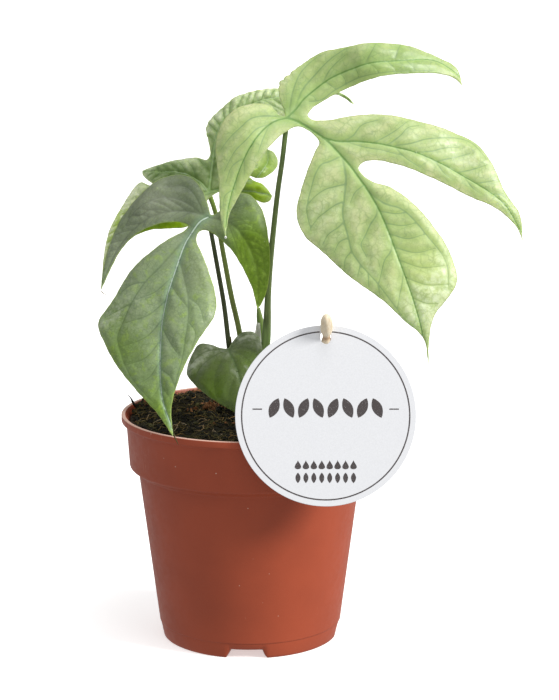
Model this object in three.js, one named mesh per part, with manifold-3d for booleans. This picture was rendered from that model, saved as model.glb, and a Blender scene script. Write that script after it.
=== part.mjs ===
// Potted amydrium medium: a young split-leaved aroid in a 12 cm nursery pot, with a round card tag on a pick.
// Millimetres, +Z up, +X right and -Y to the front. Everything is laid out round the pot's axis, with z = 0 under
// its foot, and the last lines move the whole plant so that the origin is below the middle of its bounding box.
import * as THREE from 'three';
import { mergeVertices } from 'three/addons/utils/BufferGeometryUtils.js';
import Module from 'manifold-3d';

const wasm = await Module();
wasm.setup();

const gap = 0.3; // left between pieces that touch on the real plant

const pot = {
  height: 107, lipRadius: 60, lipHeight: 3.4, lipEdge: 1.3, wall: 1.3,
  bandTopRadius: 57.7, bandFootRadius: 56.4, bandFoot: 84, bandSlope: 2.4,
  shoulder: 79, shoulderRadius: 52.4, shoulderRun: 1.4,
  step: 7.4, stepRadius: 43, stepDepth: 0.35, insideStep: 13.4,
  footRadius: 41.4, footWidth: 2.6, footBevel: 0.8, floor: 3.6, floorThickness: 1.4,
  notches: 4, notchWidth: 16, notchHeight: 3.4, notchSlant: 1.6,
  drains: 8, drainRadius: 3.5, drainCircle: 29,
  segments: 48,
};

const soil = {
  edge: 103.2, mound: 2.8, besideWall: 0.4, segments: 44, topRings: 9,
  wideWave: 31, narrowWave: 14, lump: 0.9, calmEdge: 8,
};

// Stalks are lists of points [x, y, z, radius].
const stem = {
  path: [[0, 1, 76, 4], [0, 1, 94, 5.2], [0, 1, 108, 5.2], [0.5, 0.8, 113, 4.6], [1, 0.5, 118, 4.6]],
  pitRadius: 5.8,
};
const petioles = {
  right: [[3.8, -1.4, 118.8, 2.1], [6.2, -1.6, 130, 2.1], [7.7, -1.6, 141, 2.1], [8.3, -1.4, 151, 1.8],
    [8.6, -1.2, 161, 1.5], [9.4, -1.3, 174, 1.4], [11, -2, 191, 1.3], [13.3, -3.6, 212, 1.2],
    [15.3, -5, 226, 1.15]],
  front: [[-5.6, -2, 112, 1.7], [-7.6, -3.5, 125, 1.4], [-9.4, -4.5, 139, 1.2], [-11.6, -6, 159, 1.1],
    [-14.6, -9, 178, 1.05], [-17.2, -12, 194, 1]],
  back: [[-1.9, 1.4, 118.8, 1.6], [-3.2, 3, 132, 1.4], [-4.9, 4.4, 145, 1.3], [-8.6, 6, 161.5, 1.25],
    [-11.8, 6.8, 179, 1.15], [-15.9, 7.2, 200.8, 1.05]],
  small: [[-1.75, -5.4, 109.2, 1.4], [-4.2, -7.8, 120, 1.1], [-7, -9.5, 130, 1]],
};
const shoot = [[2.2, 3.6, 118.6, 1.5], [3.4, 4.3, 128, 1.9], [5.2, 4.5, 140, 1.9], [5.2, 4.4, 147, 1.6],
  [3.6, 4.3, 152, 1.1], [4, 4.2, 156, 0.5]];

// The scale's section is a crescent round the shoot, and spread is half its turn in radians.
const scale = {
  foot: [2.8, 4.1, 122], top: [5.2, 4.4, 149], innerRadius: 2.4, wall: 0.6,
  facing: -2, spreadFoot: 1.5, spreadTop: 0.42, rings: 8, steps: 3,
};

// The pick leans to the front through a punched hole in the tag, which leans back.
const tag = {
  radius: 40, thickness: 0.8, centre: [34.4, -58.7, 118.9], leanBack: 13.2,
  holeRadius: 2.8, holeAbove: 34.8, segments: 96,
};

// Half section of the pick as [radius, distance above the tag]: sharpened foot, rod, waist and bullet head.
const pick = {
  lean: 24, sides: 16, pitRadius: 2.5,
  section: [
    [0, -84], [1, -81], [2, -72], [2, -9], [1.2, -2.6], [1.2, 2.4], [1.5, 3.2], [2.1, 4.2], [2.55, 5.6],
    [2.65, 7.4], [2.4, 9.2], [1.7, 10.8], [0.8, 11.6], [0, 11.8],
  ],
};

const stalkSides = 8;
const stalkStep = 6; // between rings along a stalk
const bladeThickness = 0.7;
const edgeStep = 2.3; // between points along a blade's margin
const gridStep = 4.6; // between points inside it

// Each blade is drawn in its own plane: u to the right and v from the petiole towards the tip, seen from the front.
// A run of the outline goes from one pointed tip to the next, and rises gives points of the blade above its plane.
const splitLeafRight = {
  base: [17.4, -8, 245.4], facing: [0, -1, 0.5], towardsTip: [0.477, -0.393, -0.786],
  outline: [
    [[-51, 36], [-48, 25.5], [-41, 11], [-37, 1], [-34.5, -4], [-27.5, -11], [-19, -14], [-10, -12.5],
      [-4, -8.5], [-2.6, -3], [-0.4, -1.3], [1.5, -9], [5, -16.5], [11.5, -18.5], [19, -20], [28.5, -20.5],
      [41, -15.5], [54, -10.5], [66.5, -4.5], [77.5, 5], [82.5, 12], [80.5, 21]],
    [[80.5, 21], [79, 16.5], [73, 12], [60, 7.5], [48, 4], [32.5, 0.5], [22.5, 0], [12.5, 1], [9, 3.2],
      [10, 6], [16.5, 10], [25.5, 13], [33.5, 17], [43, 23.5], [53.5, 32.5], [63.5, 42], [70, 50], [72, 62],
      [71, 75.5], [72.5, 87.5], [68, 98.5]],
    [[68, 98.5], [68.5, 92], [64.5, 82.5], [55, 71], [46, 59.5], [36, 49], [26, 39.5], [19.5, 36.5],
      [16, 37.5], [17.5, 45.5], [24, 52.5], [29, 61.5], [32.5, 74], [34, 89.5], [31, 102], [25, 106.5],
      [14, 111.5], [8, 118], [1.5, 129]],
    [[1.5, 129], [5, 118], [1, 107.5], [-4, 94], [-11, 79], [-16.5, 61.5], [-19.5, 52], [-18, 42],
      [-11, 33.5], [-2.5, 25.5], [4, 20], [7, 17.5], [6, 10.5], [2.6, 6], [-6, 6.5], [-14.5, 9.5], [-25, 15],
      [-36.5, 22], [-44.5, 27.5], [-51, 36]],
  ],
  rises: [
    [0, 0, 0], [14, 40, 4], [15, 62, 3], [8, 100, -3], [0, 131, -12], [33, 85, -3], [-12, 82, -3], [-20, 50, -3],
    [42, -6, 5], [78, 20, -10], [30, -21, 0], [66, -4, -2], [35, 1, 0], [45, 44, 4], [65, 100, -14],
    [63, 43, -2], [70, 76, -7], [46, 60, -1], [-22, 0, 4], [-51, 38, -3], [-36, -3, -1], [-26, 16, 1],
  ],
};

const splitLeafFront = {
  base: [-18.5, -14, 201], facing: [-0.25, -1, 0.52], towardsTip: [-0.139, -0.429, -0.892],
  outline: [
    [[25.5, 38], [28.5, 29.5], [29.5, 17.5], [28, 5], [24, -6], [18, -12], [13, -12.5], [9, -9], [5.5, -4],
      [1.4, -1.3], [-1, -6.5], [-5, -13.5], [-11.5, -18.5], [-18.5, -18.5], [-25, -15], [-32, -6.5],
      [-39.5, 4.5], [-43.5, 16.5], [-45.5, 31], [-45, 38.5]],
    [[-45, 38.5], [-42.5, 30.5], [-38, 20], [-31.5, 12.5], [-20.5, 6.5], [-12, 4.4], [-8, 5.4], [-9, 7.6],
      [-19, 16.5], [-31.5, 30], [-38, 42.5], [-44, 53.5], [-38.5, 64], [-32, 72.5], [-20, 84], [-10, 92.5],
      [-1.5, 102]],
    [[-1.5, 102], [-4, 89], [-0.5, 71.5], [4.5, 58], [9.5, 46], [8.5, 36], [2, 21], [-3.4, 11],
      [-2.5, 7.2], [1, 6.6], [6.5, 9.5], [12.5, 14], [18, 21], [22.5, 29], [25.5, 38]],
  ],
  rises: [
    [0, 0, 0], [-12, 28, 3], [-13, 58, 2], [0, 104, -4], [-40, 52, -6], [-28, 72, -5], [8, 50, -4], [0, 78, -3],
    [-28, -2, 6], [-18, -18, 0], [-40, 1, 3], [-48, 34, 0], [20, 5, -2], [32, 10, -9], [28, 40, -16],
    [12, 14, -3],
  ],
};

const splitLeafBack = {
  base: [-18.6, 5, 210], facing: [0.1, -1, 0.62], towardsTip: [-0.716, -0.418, -0.559],
  outline: [
    [[-3, 64], [-11, 55.5], [-19.5, 44.5], [-25.5, 30.5], [-26, 22], [-23, 18], [-19, 16], [-16, 13.4],
      [-19, 12.2], [-24, 12.8], [-27.5, 13.6], [-30.5, 13.5]],
    [[-30.5, 13.5], [-28.5, 10.5], [-24.5, 4.5], [-21, -1.5], [-16, -7.6], [-12, -9.4], [-12.6, -12.4],
      [-22, -19.5], [-25.5, -22.5], [-28, -29], [-28, -35], [-27.5, -43], [-24.5, -50], [-17.5, -62],
      [-9, -75], [1.5, -85], [10.5, -87]],
    [[10.5, -87], [2.5, -81], [-1.5, -71.5], [-3, -62.5], [-5, -54.5], [-5, -44.5], [-4, -38], [-1.5, -34.5],
      [0.6, -37.6], [3.5, -39.2], [6.5, -38.5], [9.5, -36], [11, -30.5], [11.5, -23.6], [9, -20.8],
      [6.6, -18.6], [9.4, -18.4], [13.5, -21], [19, -23.5]],
    [[19, -23.5], [18.8, -19], [16.5, -15], [10.5, -11], [5.5, -7], [2.8, -3.5], [2.2, 1], [3.5, 9], [5.5, 18],
      [1, 25], [-5, 32.5], [-8, 39], [-8, 48], [-6.5, 57], [-3, 64]],
  ],
  rises: [
    [0, 0, 0], [-8, 18, 1], [-8, 42, -5], [0, 67, -14], [4, 20, -3], [-22, 30, -7], [-18, 3, 4], [-29, 15, -5],
    [-21, -2, -1], [-12, -30, 6], [-27, -30, -3], [-22, -55, 0], [14, -82, -12], [8, -28, -1], [3, -35, -5],
    [21, -21, -8],
  ],
};

const heartLeaf = {
  base: [-9.3, -12, 139], facing: [-0.1, -1, 0.75], towardsTip: [0.252, -0.597, -0.762],
  outline: [
    [[0, 38], [8, 26.5], [13, 15], [16, 4], [16.5, -3], [14, -7.5], [8, -8.5], [2.6, -4.4], [0, -1.2],
      [-3, -2.4], [-8.5, -7], [-12.5, -8.5], [-18, -3], [-21.5, 4.5], [-19.5, 11.5], [-13.5, 22],
      [-5, 31.5], [0, 38]],
  ],
  rises: [[0, 0, 0], [0, 12, 2], [0, 39, -3], [-20, 9, -4], [15, 0, -3]],
};

const colours = {
  rust: { color: 0xa8553a, roughness: 0.45 },
  peat: { color: 0x2a211a, roughness: 1 },
  stemGreen: { color: 0x6f7f45, roughness: 0.6 },
  lightLeaf: { color: 0xb4cc8c, roughness: 0.5 },
  duskyLeaf: { color: 0x71836b, roughness: 0.45 },
  midLeaf: { color: 0x6b934c, roughness: 0.45 },
  deepLeaf: { color: 0x4d6a38, roughness: 0.45 },
  olive: { color: 0x66773c, roughness: 0.5 },
  darkStalk: { color: 0x333d27, roughness: 0.5 },
  papery: { color: 0xcfc6ae, roughness: 0.8 },
  card: { color: 0xecedf0, roughness: 0.7 },
  paleWood: { color: 0xe1d2b4, roughness: 0.8 },
};

// Solves a small full system of linear equations by elimination with row exchange.
function solve(matrix, right) {
  const n = right.length;
  const rows = matrix.map((row, i) => [...row, right[i]]);
  for (let c = 0; c < n; c++) {
    let best = c;
    for (let r = c + 1; r < n; r++) {
      if (Math.abs(rows[r][c]) > Math.abs(rows[best][c])) best = r;
    }
    [rows[c], rows[best]] = [rows[best], rows[c]];
    for (let r = c + 1; r < n; r++) {
      const factor = rows[r][c] / rows[c][c];
      for (let k = c; k <= n; k++) rows[r][k] -= factor * rows[c][k];
    }
  }
  const answer = new Array(n).fill(0);
  for (let r = n - 1; r >= 0; r--) {
    let rest = rows[r][n];
    for (let k = r + 1; k < n; k++) rest -= rows[r][k] * answer[k];
    answer[r] = rest / rows[r][r];
  }
  return answer;
}

// The smoothest surface through points [u, v, height]: a thin plate spline.
function thinPlate(points) {
  const bending = (du, dv) => {
    const square = du * du + dv * dv;
    return square > 0 ? square * Math.log(square) : 0;
  };
  const n = points.length;
  const matrix = points.map((p) => [...points.map((q) => bending(p[0] - q[0], p[1] - q[1])), 1, p[0], p[1]]);
  matrix.push([...new Array(n).fill(1), 0, 0, 0]);
  matrix.push([...points.map((p) => p[0]), 0, 0, 0]);
  matrix.push([...points.map((p) => p[1]), 0, 0, 0]);
  const weights = solve(matrix, [...points.map((p) => p[2]), 0, 0, 0]);
  return (u, v) => {
    let height = weights[n] + weights[n + 1] * u + weights[n + 2] * v;
    points.forEach((p, i) => {
      height += weights[i] * bending(u - p[0], v - p[1]);
    });
    return height;
  };
}

// Points evenly spaced along the outline's runs, in order round the blade.
function marginPoints(outline) {
  const margin = [];
  for (const run of outline) {
    const points = run.map(([u, v]) => new THREE.Vector3(u, v, 0));
    const curve = new THREE.CatmullRomCurve3(points, false, 'centripetal');
    const steps = Math.round(curve.getLength() / edgeStep);
    const spaced = curve.getSpacedPoints(steps);
    for (const point of spaced.slice(0, -1)) margin.push([point.x, point.y]);
  }
  return margin;
}

function isInside(polygon, u, v) {
  let inside = false;
  polygon.forEach(([u1, v1], i) => {
    const [u2, v2] = polygon[(i + 1) % polygon.length];
    if ((v1 > v) !== (v2 > v) && u < u1 + ((v - v1) / (v2 - v1)) * (u2 - u1)) inside = !inside;
  });
  return inside;
}

// A honeycomb of points inside the margin, none close to it.
function innerPoints(margin) {
  const across = margin.map((p) => p[0]);
  const along = margin.map((p) => p[1]);
  const rowStep = (gridStep * Math.sqrt(3)) / 2;
  const clear = 0.55 * gridStep;
  const points = [];
  let row = 0;
  for (let v = Math.min(...along); v < Math.max(...along); v += rowStep) {
    const shift = row % 2 ? gridStep / 2 : 0;
    row += 1;
    for (let u = Math.min(...across) + shift; u < Math.max(...across); u += gridStep) {
      const nearest = Math.min(...margin.map((p) => Math.hypot(p[0] - u, p[1] - v)));
      if (nearest > clear && isInside(margin, u, v)) points.push([u, v]);
    }
  }
  return points;
}

// Delaunay triangles of flat points, by adding one point at a time inside a far triangle.
function delaunay(points) {
  const far = 2000;
  const all = [...points, [-far, -far], [far, -far], [0, far]];
  const withCircle = (a, b, c) => {
    const [ax, ay] = all[a];
    const bx = all[b][0] - ax;
    const by = all[b][1] - ay;
    const cx = all[c][0] - ax;
    const cy = all[c][1] - ay;
    const area = 2 * (bx * cy - by * cx);
    const x = (cy * (bx * bx + by * by) - by * (cx * cx + cy * cy)) / area;
    const y = (bx * (cx * cx + cy * cy) - cx * (bx * bx + by * by)) / area;
    return { corners: area > 0 ? [a, b, c] : [a, c, b], x: ax + x, y: ay + y, square: x * x + y * y };
  };
  const n = points.length;
  let triangles = [withCircle(n, n + 1, n + 2)];
  points.forEach(([u, v], i) => {
    const edges = new Map();
    const kept = [];
    for (const triangle of triangles) {
      if ((triangle.x - u) ** 2 + (triangle.y - v) ** 2 > triangle.square) {
        kept.push(triangle);
        continue;
      }
      triangle.corners.forEach((a, k) => {
        const b = triangle.corners[(k + 1) % 3];
        if (!edges.delete(`${b} ${a}`)) edges.set(`${a} ${b}`, [a, b]);
      });
    }
    triangles = [...kept, ...[...edges.values()].map(([a, b]) => withCircle(a, b, i))];
  });
  return triangles.map((t) => t.corners).filter((corners) => corners.every((corner) => corner < n));
}

function toGeometry(positions, indices) {
  const geometry = new THREE.BufferGeometry();
  geometry.setAttribute('position', new THREE.Float32BufferAttribute(positions, 3));
  geometry.setIndex(indices);
  return geometry;
}

// A blade's place in space: its own axes, and its surface with the normal at any point.
function bladeSurface(leaf) {
  const base = new THREE.Vector3(...leaf.base);
  const facing = new THREE.Vector3(...leaf.facing).normalize();
  const along = new THREE.Vector3(...leaf.towardsTip).projectOnPlane(facing).normalize();
  const across = facing.clone().cross(along);
  const rise = thinPlate(leaf.rises);
  return (u, v) => {
    const small = 0.01;
    const height = rise(u, v);
    const point = base.clone().addScaledVector(across, u).addScaledVector(along, v)
      .addScaledVector(facing, height);
    const normal = facing.clone().addScaledVector(across, (height - rise(u + small, v)) / small)
      .addScaledVector(along, (height - rise(u, v + small)) / small).normalize();
    return { point, normal };
  };
}

// A thin solid with the same triangles on both faces and a wall round its margin.
function bladeGeometry(leaf) {
  const margin = marginPoints(leaf.outline);
  const points = [...margin, ...innerPoints(margin)];
  const triangles = delaunay(points).filter((corners) => {
    const u = corners.reduce((sum, c) => sum + points[c][0], 0) / 3;
    const v = corners.reduce((sum, c) => sum + points[c][1], 0) / 3;
    return isInside(margin, u, v);
  });
  const surface = bladeSurface(leaf);
  const positions = [];
  for (const side of [0.5, -0.5]) {
    for (const [u, v] of points) {
      const { point, normal } = surface(u, v);
      positions.push(...point.addScaledVector(normal, side * bladeThickness).toArray());
    }
  }
  const n = points.length;
  const indices = [];
  const rims = new Map();
  for (const [a, b, c] of triangles) {
    indices.push(a, c, b, a + n, b + n, c + n);
    for (const [p, q] of [[a, c], [c, b], [b, a]]) {
      if (!rims.delete(`${q} ${p}`)) rims.set(`${p} ${q}`, [p, q]);
    }
  }
  for (const [p, q] of rims.values()) indices.push(q, p, p + n, q, p + n, q + n);
  return toGeometry(positions, indices);
}

// A solid through rings of equal point counts, closed by a fan at each end.
function loft(rings) {
  const count = rings[0].length;
  const positions = rings.flat().flatMap((p) => p.toArray());
  const indices = [];
  for (let r = 0; r + 1 < rings.length; r++) {
    for (let i = 0; i < count; i++) {
      const a = r * count + i;
      const b = r * count + ((i + 1) % count);
      indices.push(a, b, b + count, a, b + count, a + count);
    }
  }
  const close = (ring, start, isTop) => {
    const middle = ring.reduce((sum, p) => sum.add(p), new THREE.Vector3()).divideScalar(count);
    const centre = positions.length / 3;
    positions.push(...middle.toArray());
    for (let i = 0; i < count; i++) {
      const a = start + i;
      const b = start + ((i + 1) % count);
      indices.push(...(isTop ? [a, b, centre] : [b, a, centre]));
    }
  };
  close(rings[0], 0, false);
  close(rings.at(-1), (rings.length - 1) * count, true);
  return toGeometry(positions, indices);
}

// A round stalk through points [x, y, z, radius], flat at both ends.
function stalk(path, sides = stalkSides, step = stalkStep) {
  const points = path.map(([x, y, z]) => new THREE.Vector3(x, y, z));
  const curve = new THREE.CatmullRomCurve3(points, false, 'centripetal');
  const spans = path.length - 1;
  const steps = Math.max(1, Math.round(curve.getLength() / step));
  const rings = [];
  for (let s = 0; s <= steps; s++) {
    const t = s / steps;
    const span = Math.min(Math.floor(t * spans), spans - 1);
    const radius = THREE.MathUtils.lerp(path[span][3], path[span + 1][3], t * spans - span);
    const centre = curve.getPoint(t);
    const tangent = curve.getTangent(t);
    const right = new THREE.Vector3(0, 1, 0).cross(tangent).normalize();
    const back = tangent.clone().cross(right);
    const ring = [];
    for (let i = 0; i < sides; i++) {
      const angle = (2 * Math.PI * i) / sides;
      ring.push(centre.clone().addScaledVector(right, radius * Math.cos(angle))
        .addScaledVector(back, radius * Math.sin(angle)));
    }
    rings.push(ring);
  }
  return loft(rings);
}

// A lathe turned about Z from points [radius, z].
function turned(profile, segments) {
  const lathe = new THREE.LatheGeometry(profile.map(([r, z]) => new THREE.Vector2(r, z)), segments);
  return lathe.rotateX(Math.PI / 2);
}

// Merges shared points and drops the triangles that shrink to nothing on a lathe's axis.
function sealed(geometry) {
  const bare = geometry.clone();
  bare.deleteAttribute('normal');
  bare.deleteAttribute('uv');
  const merged = mergeVertices(bare, 1e-4);
  const indices = [];
  const index = merged.index.array;
  for (let i = 0; i < index.length; i += 3) {
    const [a, b, c] = index.slice(i, i + 3);
    if (a !== b && b !== c && c !== a) indices.push(a, b, c);
  }
  merged.setIndex(indices);
  return merged;
}

function toSolid(geometry) {
  const closed = sealed(geometry);
  return new wasm.Manifold(new wasm.Mesh({
    numProp: 3,
    vertProperties: new Float32Array(closed.attributes.position.array),
    triVerts: new Uint32Array(closed.index.array),
  }));
}

function cut(geometry, tools) {
  let solid = toSolid(geometry);
  for (const tool of tools) solid = solid.subtract(toSolid(tool));
  const mesh = solid.getMesh();
  return toGeometry([...mesh.vertProperties], [...mesh.triVerts]);
}

// Points from one profile corner to the next along a quarter-like bend, both ends included.
function bend(from, corner, to) {
  const curve = new THREE.QuadraticBezierCurve(
    new THREE.Vector2(...from), new THREE.Vector2(...corner), new THREE.Vector2(...to),
  );
  return curve.getPoints(3).map((p) => [p.x, p.y]);
}

// Inside of the pot from its floor up to the lip, drawn in by a given distance.
function insideProfile(inset) {
  const off = pot.wall + inset;
  return {
    floor: [pot.footRadius - off, pot.floor + pot.floorThickness + inset],
    step: [pot.stepRadius - off, pot.insideStep],
    shoulder: [pot.shoulderRadius - off, pot.shoulder - 1],
    bandFoot: [pot.bandFootRadius - off, pot.bandFoot + 1],
    bandTop: [pot.bandTopRadius - off, pot.height - pot.lipHeight],
  };
}

// The outside goes up from the foot ring over a low step, the shoulder and the band to the lip.
function potProfile() {
  const footInner = pot.footRadius - pot.footWidth;
  const lipFoot = pot.height - pot.lipHeight;
  const inside = insideProfile(0);
  const shoulder = bend(
    [pot.shoulderRadius, pot.shoulder - 1], [pot.shoulderRadius + 0.2, pot.shoulder + 0.6],
    [pot.shoulderRadius + pot.shoulderRun, pot.shoulder + pot.shoulderRun],
  );
  const bandFoot = bend(
    [pot.bandFootRadius - 1.4, pot.bandFoot - pot.bandSlope], [pot.bandFootRadius - 0.1, pot.bandFoot - 1.6],
    [pot.bandFootRadius, pot.bandFoot],
  );
  const lipUnder = bend(
    [pot.bandTopRadius + 0.8, lipFoot - 1], [pot.lipRadius - 0.2, lipFoot - 0.4], [pot.lipRadius, lipFoot + 1],
  );
  const lipTop = bend(
    [pot.lipRadius, pot.height - pot.lipEdge], [pot.lipRadius, pot.height],
    [pot.lipRadius - pot.lipEdge, pot.height],
  );
  return [
    [0, pot.floor], [footInner - pot.footBevel, pot.floor], [footInner, pot.floor - pot.footBevel],
    [footInner, 0], [pot.footRadius - 0.6, 0], [pot.footRadius + 0.2, 1.2],
    [pot.stepRadius - pot.stepDepth, pot.step], [pot.stepRadius, pot.step + 0.3],
    ...shoulder, ...bandFoot, [pot.bandTopRadius, lipFoot - 1.8], ...lipUnder, ...lipTop,
    [pot.bandTopRadius - 0.6, pot.height - 0.3], inside.bandTop,
    inside.bandFoot, inside.shoulder, inside.step, inside.floor, [0, inside.floor[1]],
  ];
}

function footNotch(angle) {
  const half = pot.notchWidth / 2;
  const shape = new THREE.Shape([
    new THREE.Vector2(-half - pot.notchSlant, -1), new THREE.Vector2(half + pot.notchSlant, -1),
    new THREE.Vector2(half, pot.notchHeight), new THREE.Vector2(-half, pot.notchHeight),
  ]);
  const notch = new THREE.ExtrudeGeometry(shape, { depth: 4 * pot.footWidth, bevelEnabled: false });
  notch.translate(0, 0, pot.footRadius - 3 * pot.footWidth).rotateX(Math.PI / 2);
  return notch.rotateZ(angle);
}

function drainHole(angle) {
  const drain = new THREE.CylinderGeometry(pot.drainRadius, pot.drainRadius, 4 * pot.floorThickness, 12);
  drain.rotateX(Math.PI / 2).translate(pot.drainCircle, 0, pot.floor + pot.floorThickness / 2);
  return drain.rotateZ(angle);
}

function potGeometry() {
  const tools = [];
  for (let i = 0; i < pot.notches; i++) tools.push(footNotch((2 * Math.PI * i) / pot.notches));
  for (let i = 0; i < pot.drains; i++) tools.push(drainHole((2 * Math.PI * (i + 0.5)) / pot.drains));
  return cut(turned(potProfile(), pot.segments), tools);
}

// Height of the soil's lumps at a point of its top: wide ones with narrow ones on them.
function soilLump(x, y) {
  const wide = (2 * Math.PI) / soil.wideWave;
  const narrow = (2 * Math.PI) / soil.narrowWave;
  const low = Math.sin(wide * x + 0.7) * Math.cos(wide * y - 0.4);
  const high = Math.sin(narrow * x - 0.9 + wide * y) * Math.sin(narrow * y + 1.3);
  return soil.lump * (low + 0.7 * high);
}

function soilGeometry() {
  const inside = insideProfile(gap);
  const edgeRadius = inside.bandTop[0] - soil.besideWall;
  const top = [];
  for (let i = 0; i <= soil.topRings; i++) {
    const share = 1 - i / soil.topRings;
    top.push([edgeRadius * share, soil.edge + soil.mound * (1 - share * share)]);
  }
  const profile = [[0, inside.floor[1]], inside.floor, inside.step, inside.shoulder, inside.bandFoot, ...top];
  const geometry = sealed(turned(profile, soil.segments));
  const position = geometry.attributes.position;
  for (let i = 0; i < position.count; i++) {
    const [x, y, z] = [position.getX(i), position.getY(i), position.getZ(i)];
    if (z < soil.edge + 0.01) continue;
    const calm = Math.min(1, (edgeRadius - Math.hypot(x, y)) / soil.calmEdge);
    position.setZ(i, z + calm * soilLump(x, y));
  }
  return cut(geometry, [stemPit(), pickPit()]);
}

// The plain hole that the stem stands in.
function stemPit() {
  const [x, y, foot] = stem.path[0];
  const path = [[x, y, foot - gap, stem.pitRadius], [x, y, pot.height + 10, stem.pitRadius]];
  return stalk(path, 16, pot.height);
}

// The plain hole that the pick stands in, up to the tag.
function pickPit() {
  const { crossing, upwards } = pickAxis();
  const foot = crossing.clone().addScaledVector(upwards, pick.section[0][1] - gap);
  const path = [foot, crossing].map((point) => [...point.toArray(), pick.pitRadius]);
  return stalk(path, 12, pot.height);
}

// The tag's own frame: x to the right, y up its face and z towards the viewer.
function tagPlacement() {
  const lean = THREE.MathUtils.degToRad(90 - tag.leanBack);
  return new THREE.Matrix4().makeTranslation(...tag.centre).multiply(new THREE.Matrix4().makeRotationX(lean));
}

function tagGeometry() {
  const disc = new THREE.CylinderGeometry(tag.radius, tag.radius, tag.thickness, tag.segments);
  const punch = new THREE.CylinderGeometry(tag.holeRadius, tag.holeRadius, 4 * tag.thickness, 20);
  punch.translate(0, 0, -tag.holeAbove);
  return cut(disc, [punch]).rotateX(Math.PI / 2).applyMatrix4(tagPlacement());
}

// Where the pick's axis crosses the middle of the tag's hole, and its direction upwards.
function pickAxis() {
  const crossing = new THREE.Vector3(0, tag.holeAbove, 0).applyMatrix4(tagPlacement());
  const lean = THREE.MathUtils.degToRad(pick.lean);
  return { crossing, upwards: new THREE.Vector3(0, -Math.sin(lean), Math.cos(lean)) };
}

function pickGeometry() {
  const { crossing, upwards } = pickAxis();
  const geometry = sealed(turned(pick.section, pick.sides));
  const turn = new THREE.Quaternion().setFromUnitVectors(new THREE.Vector3(0, 0, 1), upwards);
  return geometry.applyQuaternion(turn).translate(...crossing.toArray());
}

// A stalk that ends just behind its blade, so that the rim of its end face keeps the gap.
function petioleGeometry(path, leaf) {
  const [x, y, z, radius] = path.at(-1);
  const { point, normal } = bladeSurface(leaf)(0, 0);
  const slope = point.clone().sub(new THREE.Vector3(x, y, z)).normalize().dot(normal);
  const off = bladeThickness / 2 + gap + radius * Math.sqrt(1 - slope * slope);
  return stalk([...path, [...point.addScaledVector(normal, -off).toArray(), radius]]);
}

// A papery scale that half wraps the shoot: a crescent lofted up to a narrow point.
function scaleGeometry() {
  const foot = new THREE.Vector3(...scale.foot);
  const top = new THREE.Vector3(...scale.top);
  const rings = [];
  for (let s = 0; s <= scale.rings; s++) {
    const t = s / scale.rings;
    const centre = foot.clone().lerp(top, t);
    const spread = THREE.MathUtils.lerp(scale.spreadFoot, scale.spreadTop, t);
    const ring = [];
    for (const [radius, way] of [[scale.innerRadius, 1], [scale.innerRadius + scale.wall, -1]]) {
      for (let i = -scale.steps; i <= scale.steps; i++) {
        const angle = scale.facing + (way * spread * i) / scale.steps;
        const offset = new THREE.Vector3(radius * Math.cos(angle), radius * Math.sin(angle), 0);
        ring.push(centre.clone().add(offset));
      }
    }
    rings.push(ring.reverse());
  }
  return loft(rings);
}

const plant = new THREE.Group();

function add(name, geometry, colour) {
  const closed = sealed(geometry);
  closed.computeVertexNormals();
  const mesh = new THREE.Mesh(closed, new THREE.MeshStandardMaterial({ metalness: 0, ...colours[colour] }));
  mesh.name = name;
  plant.add(mesh);
}

add('pot', potGeometry(), 'rust');
add('soil', soilGeometry(), 'peat');
add('stem', stalk(stem.path, 14, 4), 'stemGreen');

add('leaf_right_blade', bladeGeometry(splitLeafRight), 'lightLeaf');
add('leaf_right_petiole', petioleGeometry(petioles.right, splitLeafRight), 'olive');
add('leaf_front_blade', bladeGeometry(splitLeafFront), 'duskyLeaf');
add('leaf_front_petiole', petioleGeometry(petioles.front, splitLeafFront), 'darkStalk');
add('leaf_back_blade', bladeGeometry(splitLeafBack), 'midLeaf');
add('leaf_back_petiole', petioleGeometry(petioles.back, splitLeafBack), 'olive');
add('leaf_small_blade', bladeGeometry(heartLeaf), 'deepLeaf');
add('leaf_small_petiole', petioleGeometry(petioles.small, heartLeaf), 'deepLeaf');
add('shoot', stalk(shoot, stalkSides, 3.5), 'midLeaf');
add('shoot_scale', scaleGeometry(), 'papery');

add('tag', tagGeometry(), 'card');
add('pick', pickGeometry(), 'paleWood');

const bounds = new THREE.Box3().setFromObject(plant);
const middle = bounds.getCenter(new THREE.Vector3());
plant.position.set(-middle.x, -middle.y, -bounds.min.z);

export default plant;
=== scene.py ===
# Potted amydrium medium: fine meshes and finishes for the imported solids, with camera, floor and light.
# Lengths are in millimetres round the pot's axis, with z = 0 under its foot, until metres() places them.
import math

import bpy
import numpy as np
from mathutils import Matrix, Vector, noise
from mathutils.geometry import delaunay_2d_cdt


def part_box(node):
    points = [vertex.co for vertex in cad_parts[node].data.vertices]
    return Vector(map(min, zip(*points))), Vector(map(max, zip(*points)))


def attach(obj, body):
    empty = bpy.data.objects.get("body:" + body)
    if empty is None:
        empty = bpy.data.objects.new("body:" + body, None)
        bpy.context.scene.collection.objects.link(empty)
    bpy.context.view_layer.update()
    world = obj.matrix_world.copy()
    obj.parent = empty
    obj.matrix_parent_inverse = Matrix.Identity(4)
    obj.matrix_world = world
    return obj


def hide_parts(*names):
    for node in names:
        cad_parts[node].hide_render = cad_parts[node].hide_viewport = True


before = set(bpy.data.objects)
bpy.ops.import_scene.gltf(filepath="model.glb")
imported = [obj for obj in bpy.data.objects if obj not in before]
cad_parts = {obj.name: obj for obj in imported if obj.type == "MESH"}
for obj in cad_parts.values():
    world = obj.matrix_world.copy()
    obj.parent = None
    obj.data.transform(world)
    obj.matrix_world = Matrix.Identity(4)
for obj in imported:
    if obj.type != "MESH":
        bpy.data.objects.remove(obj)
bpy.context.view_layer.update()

pot_low, pot_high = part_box("pot")
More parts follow.
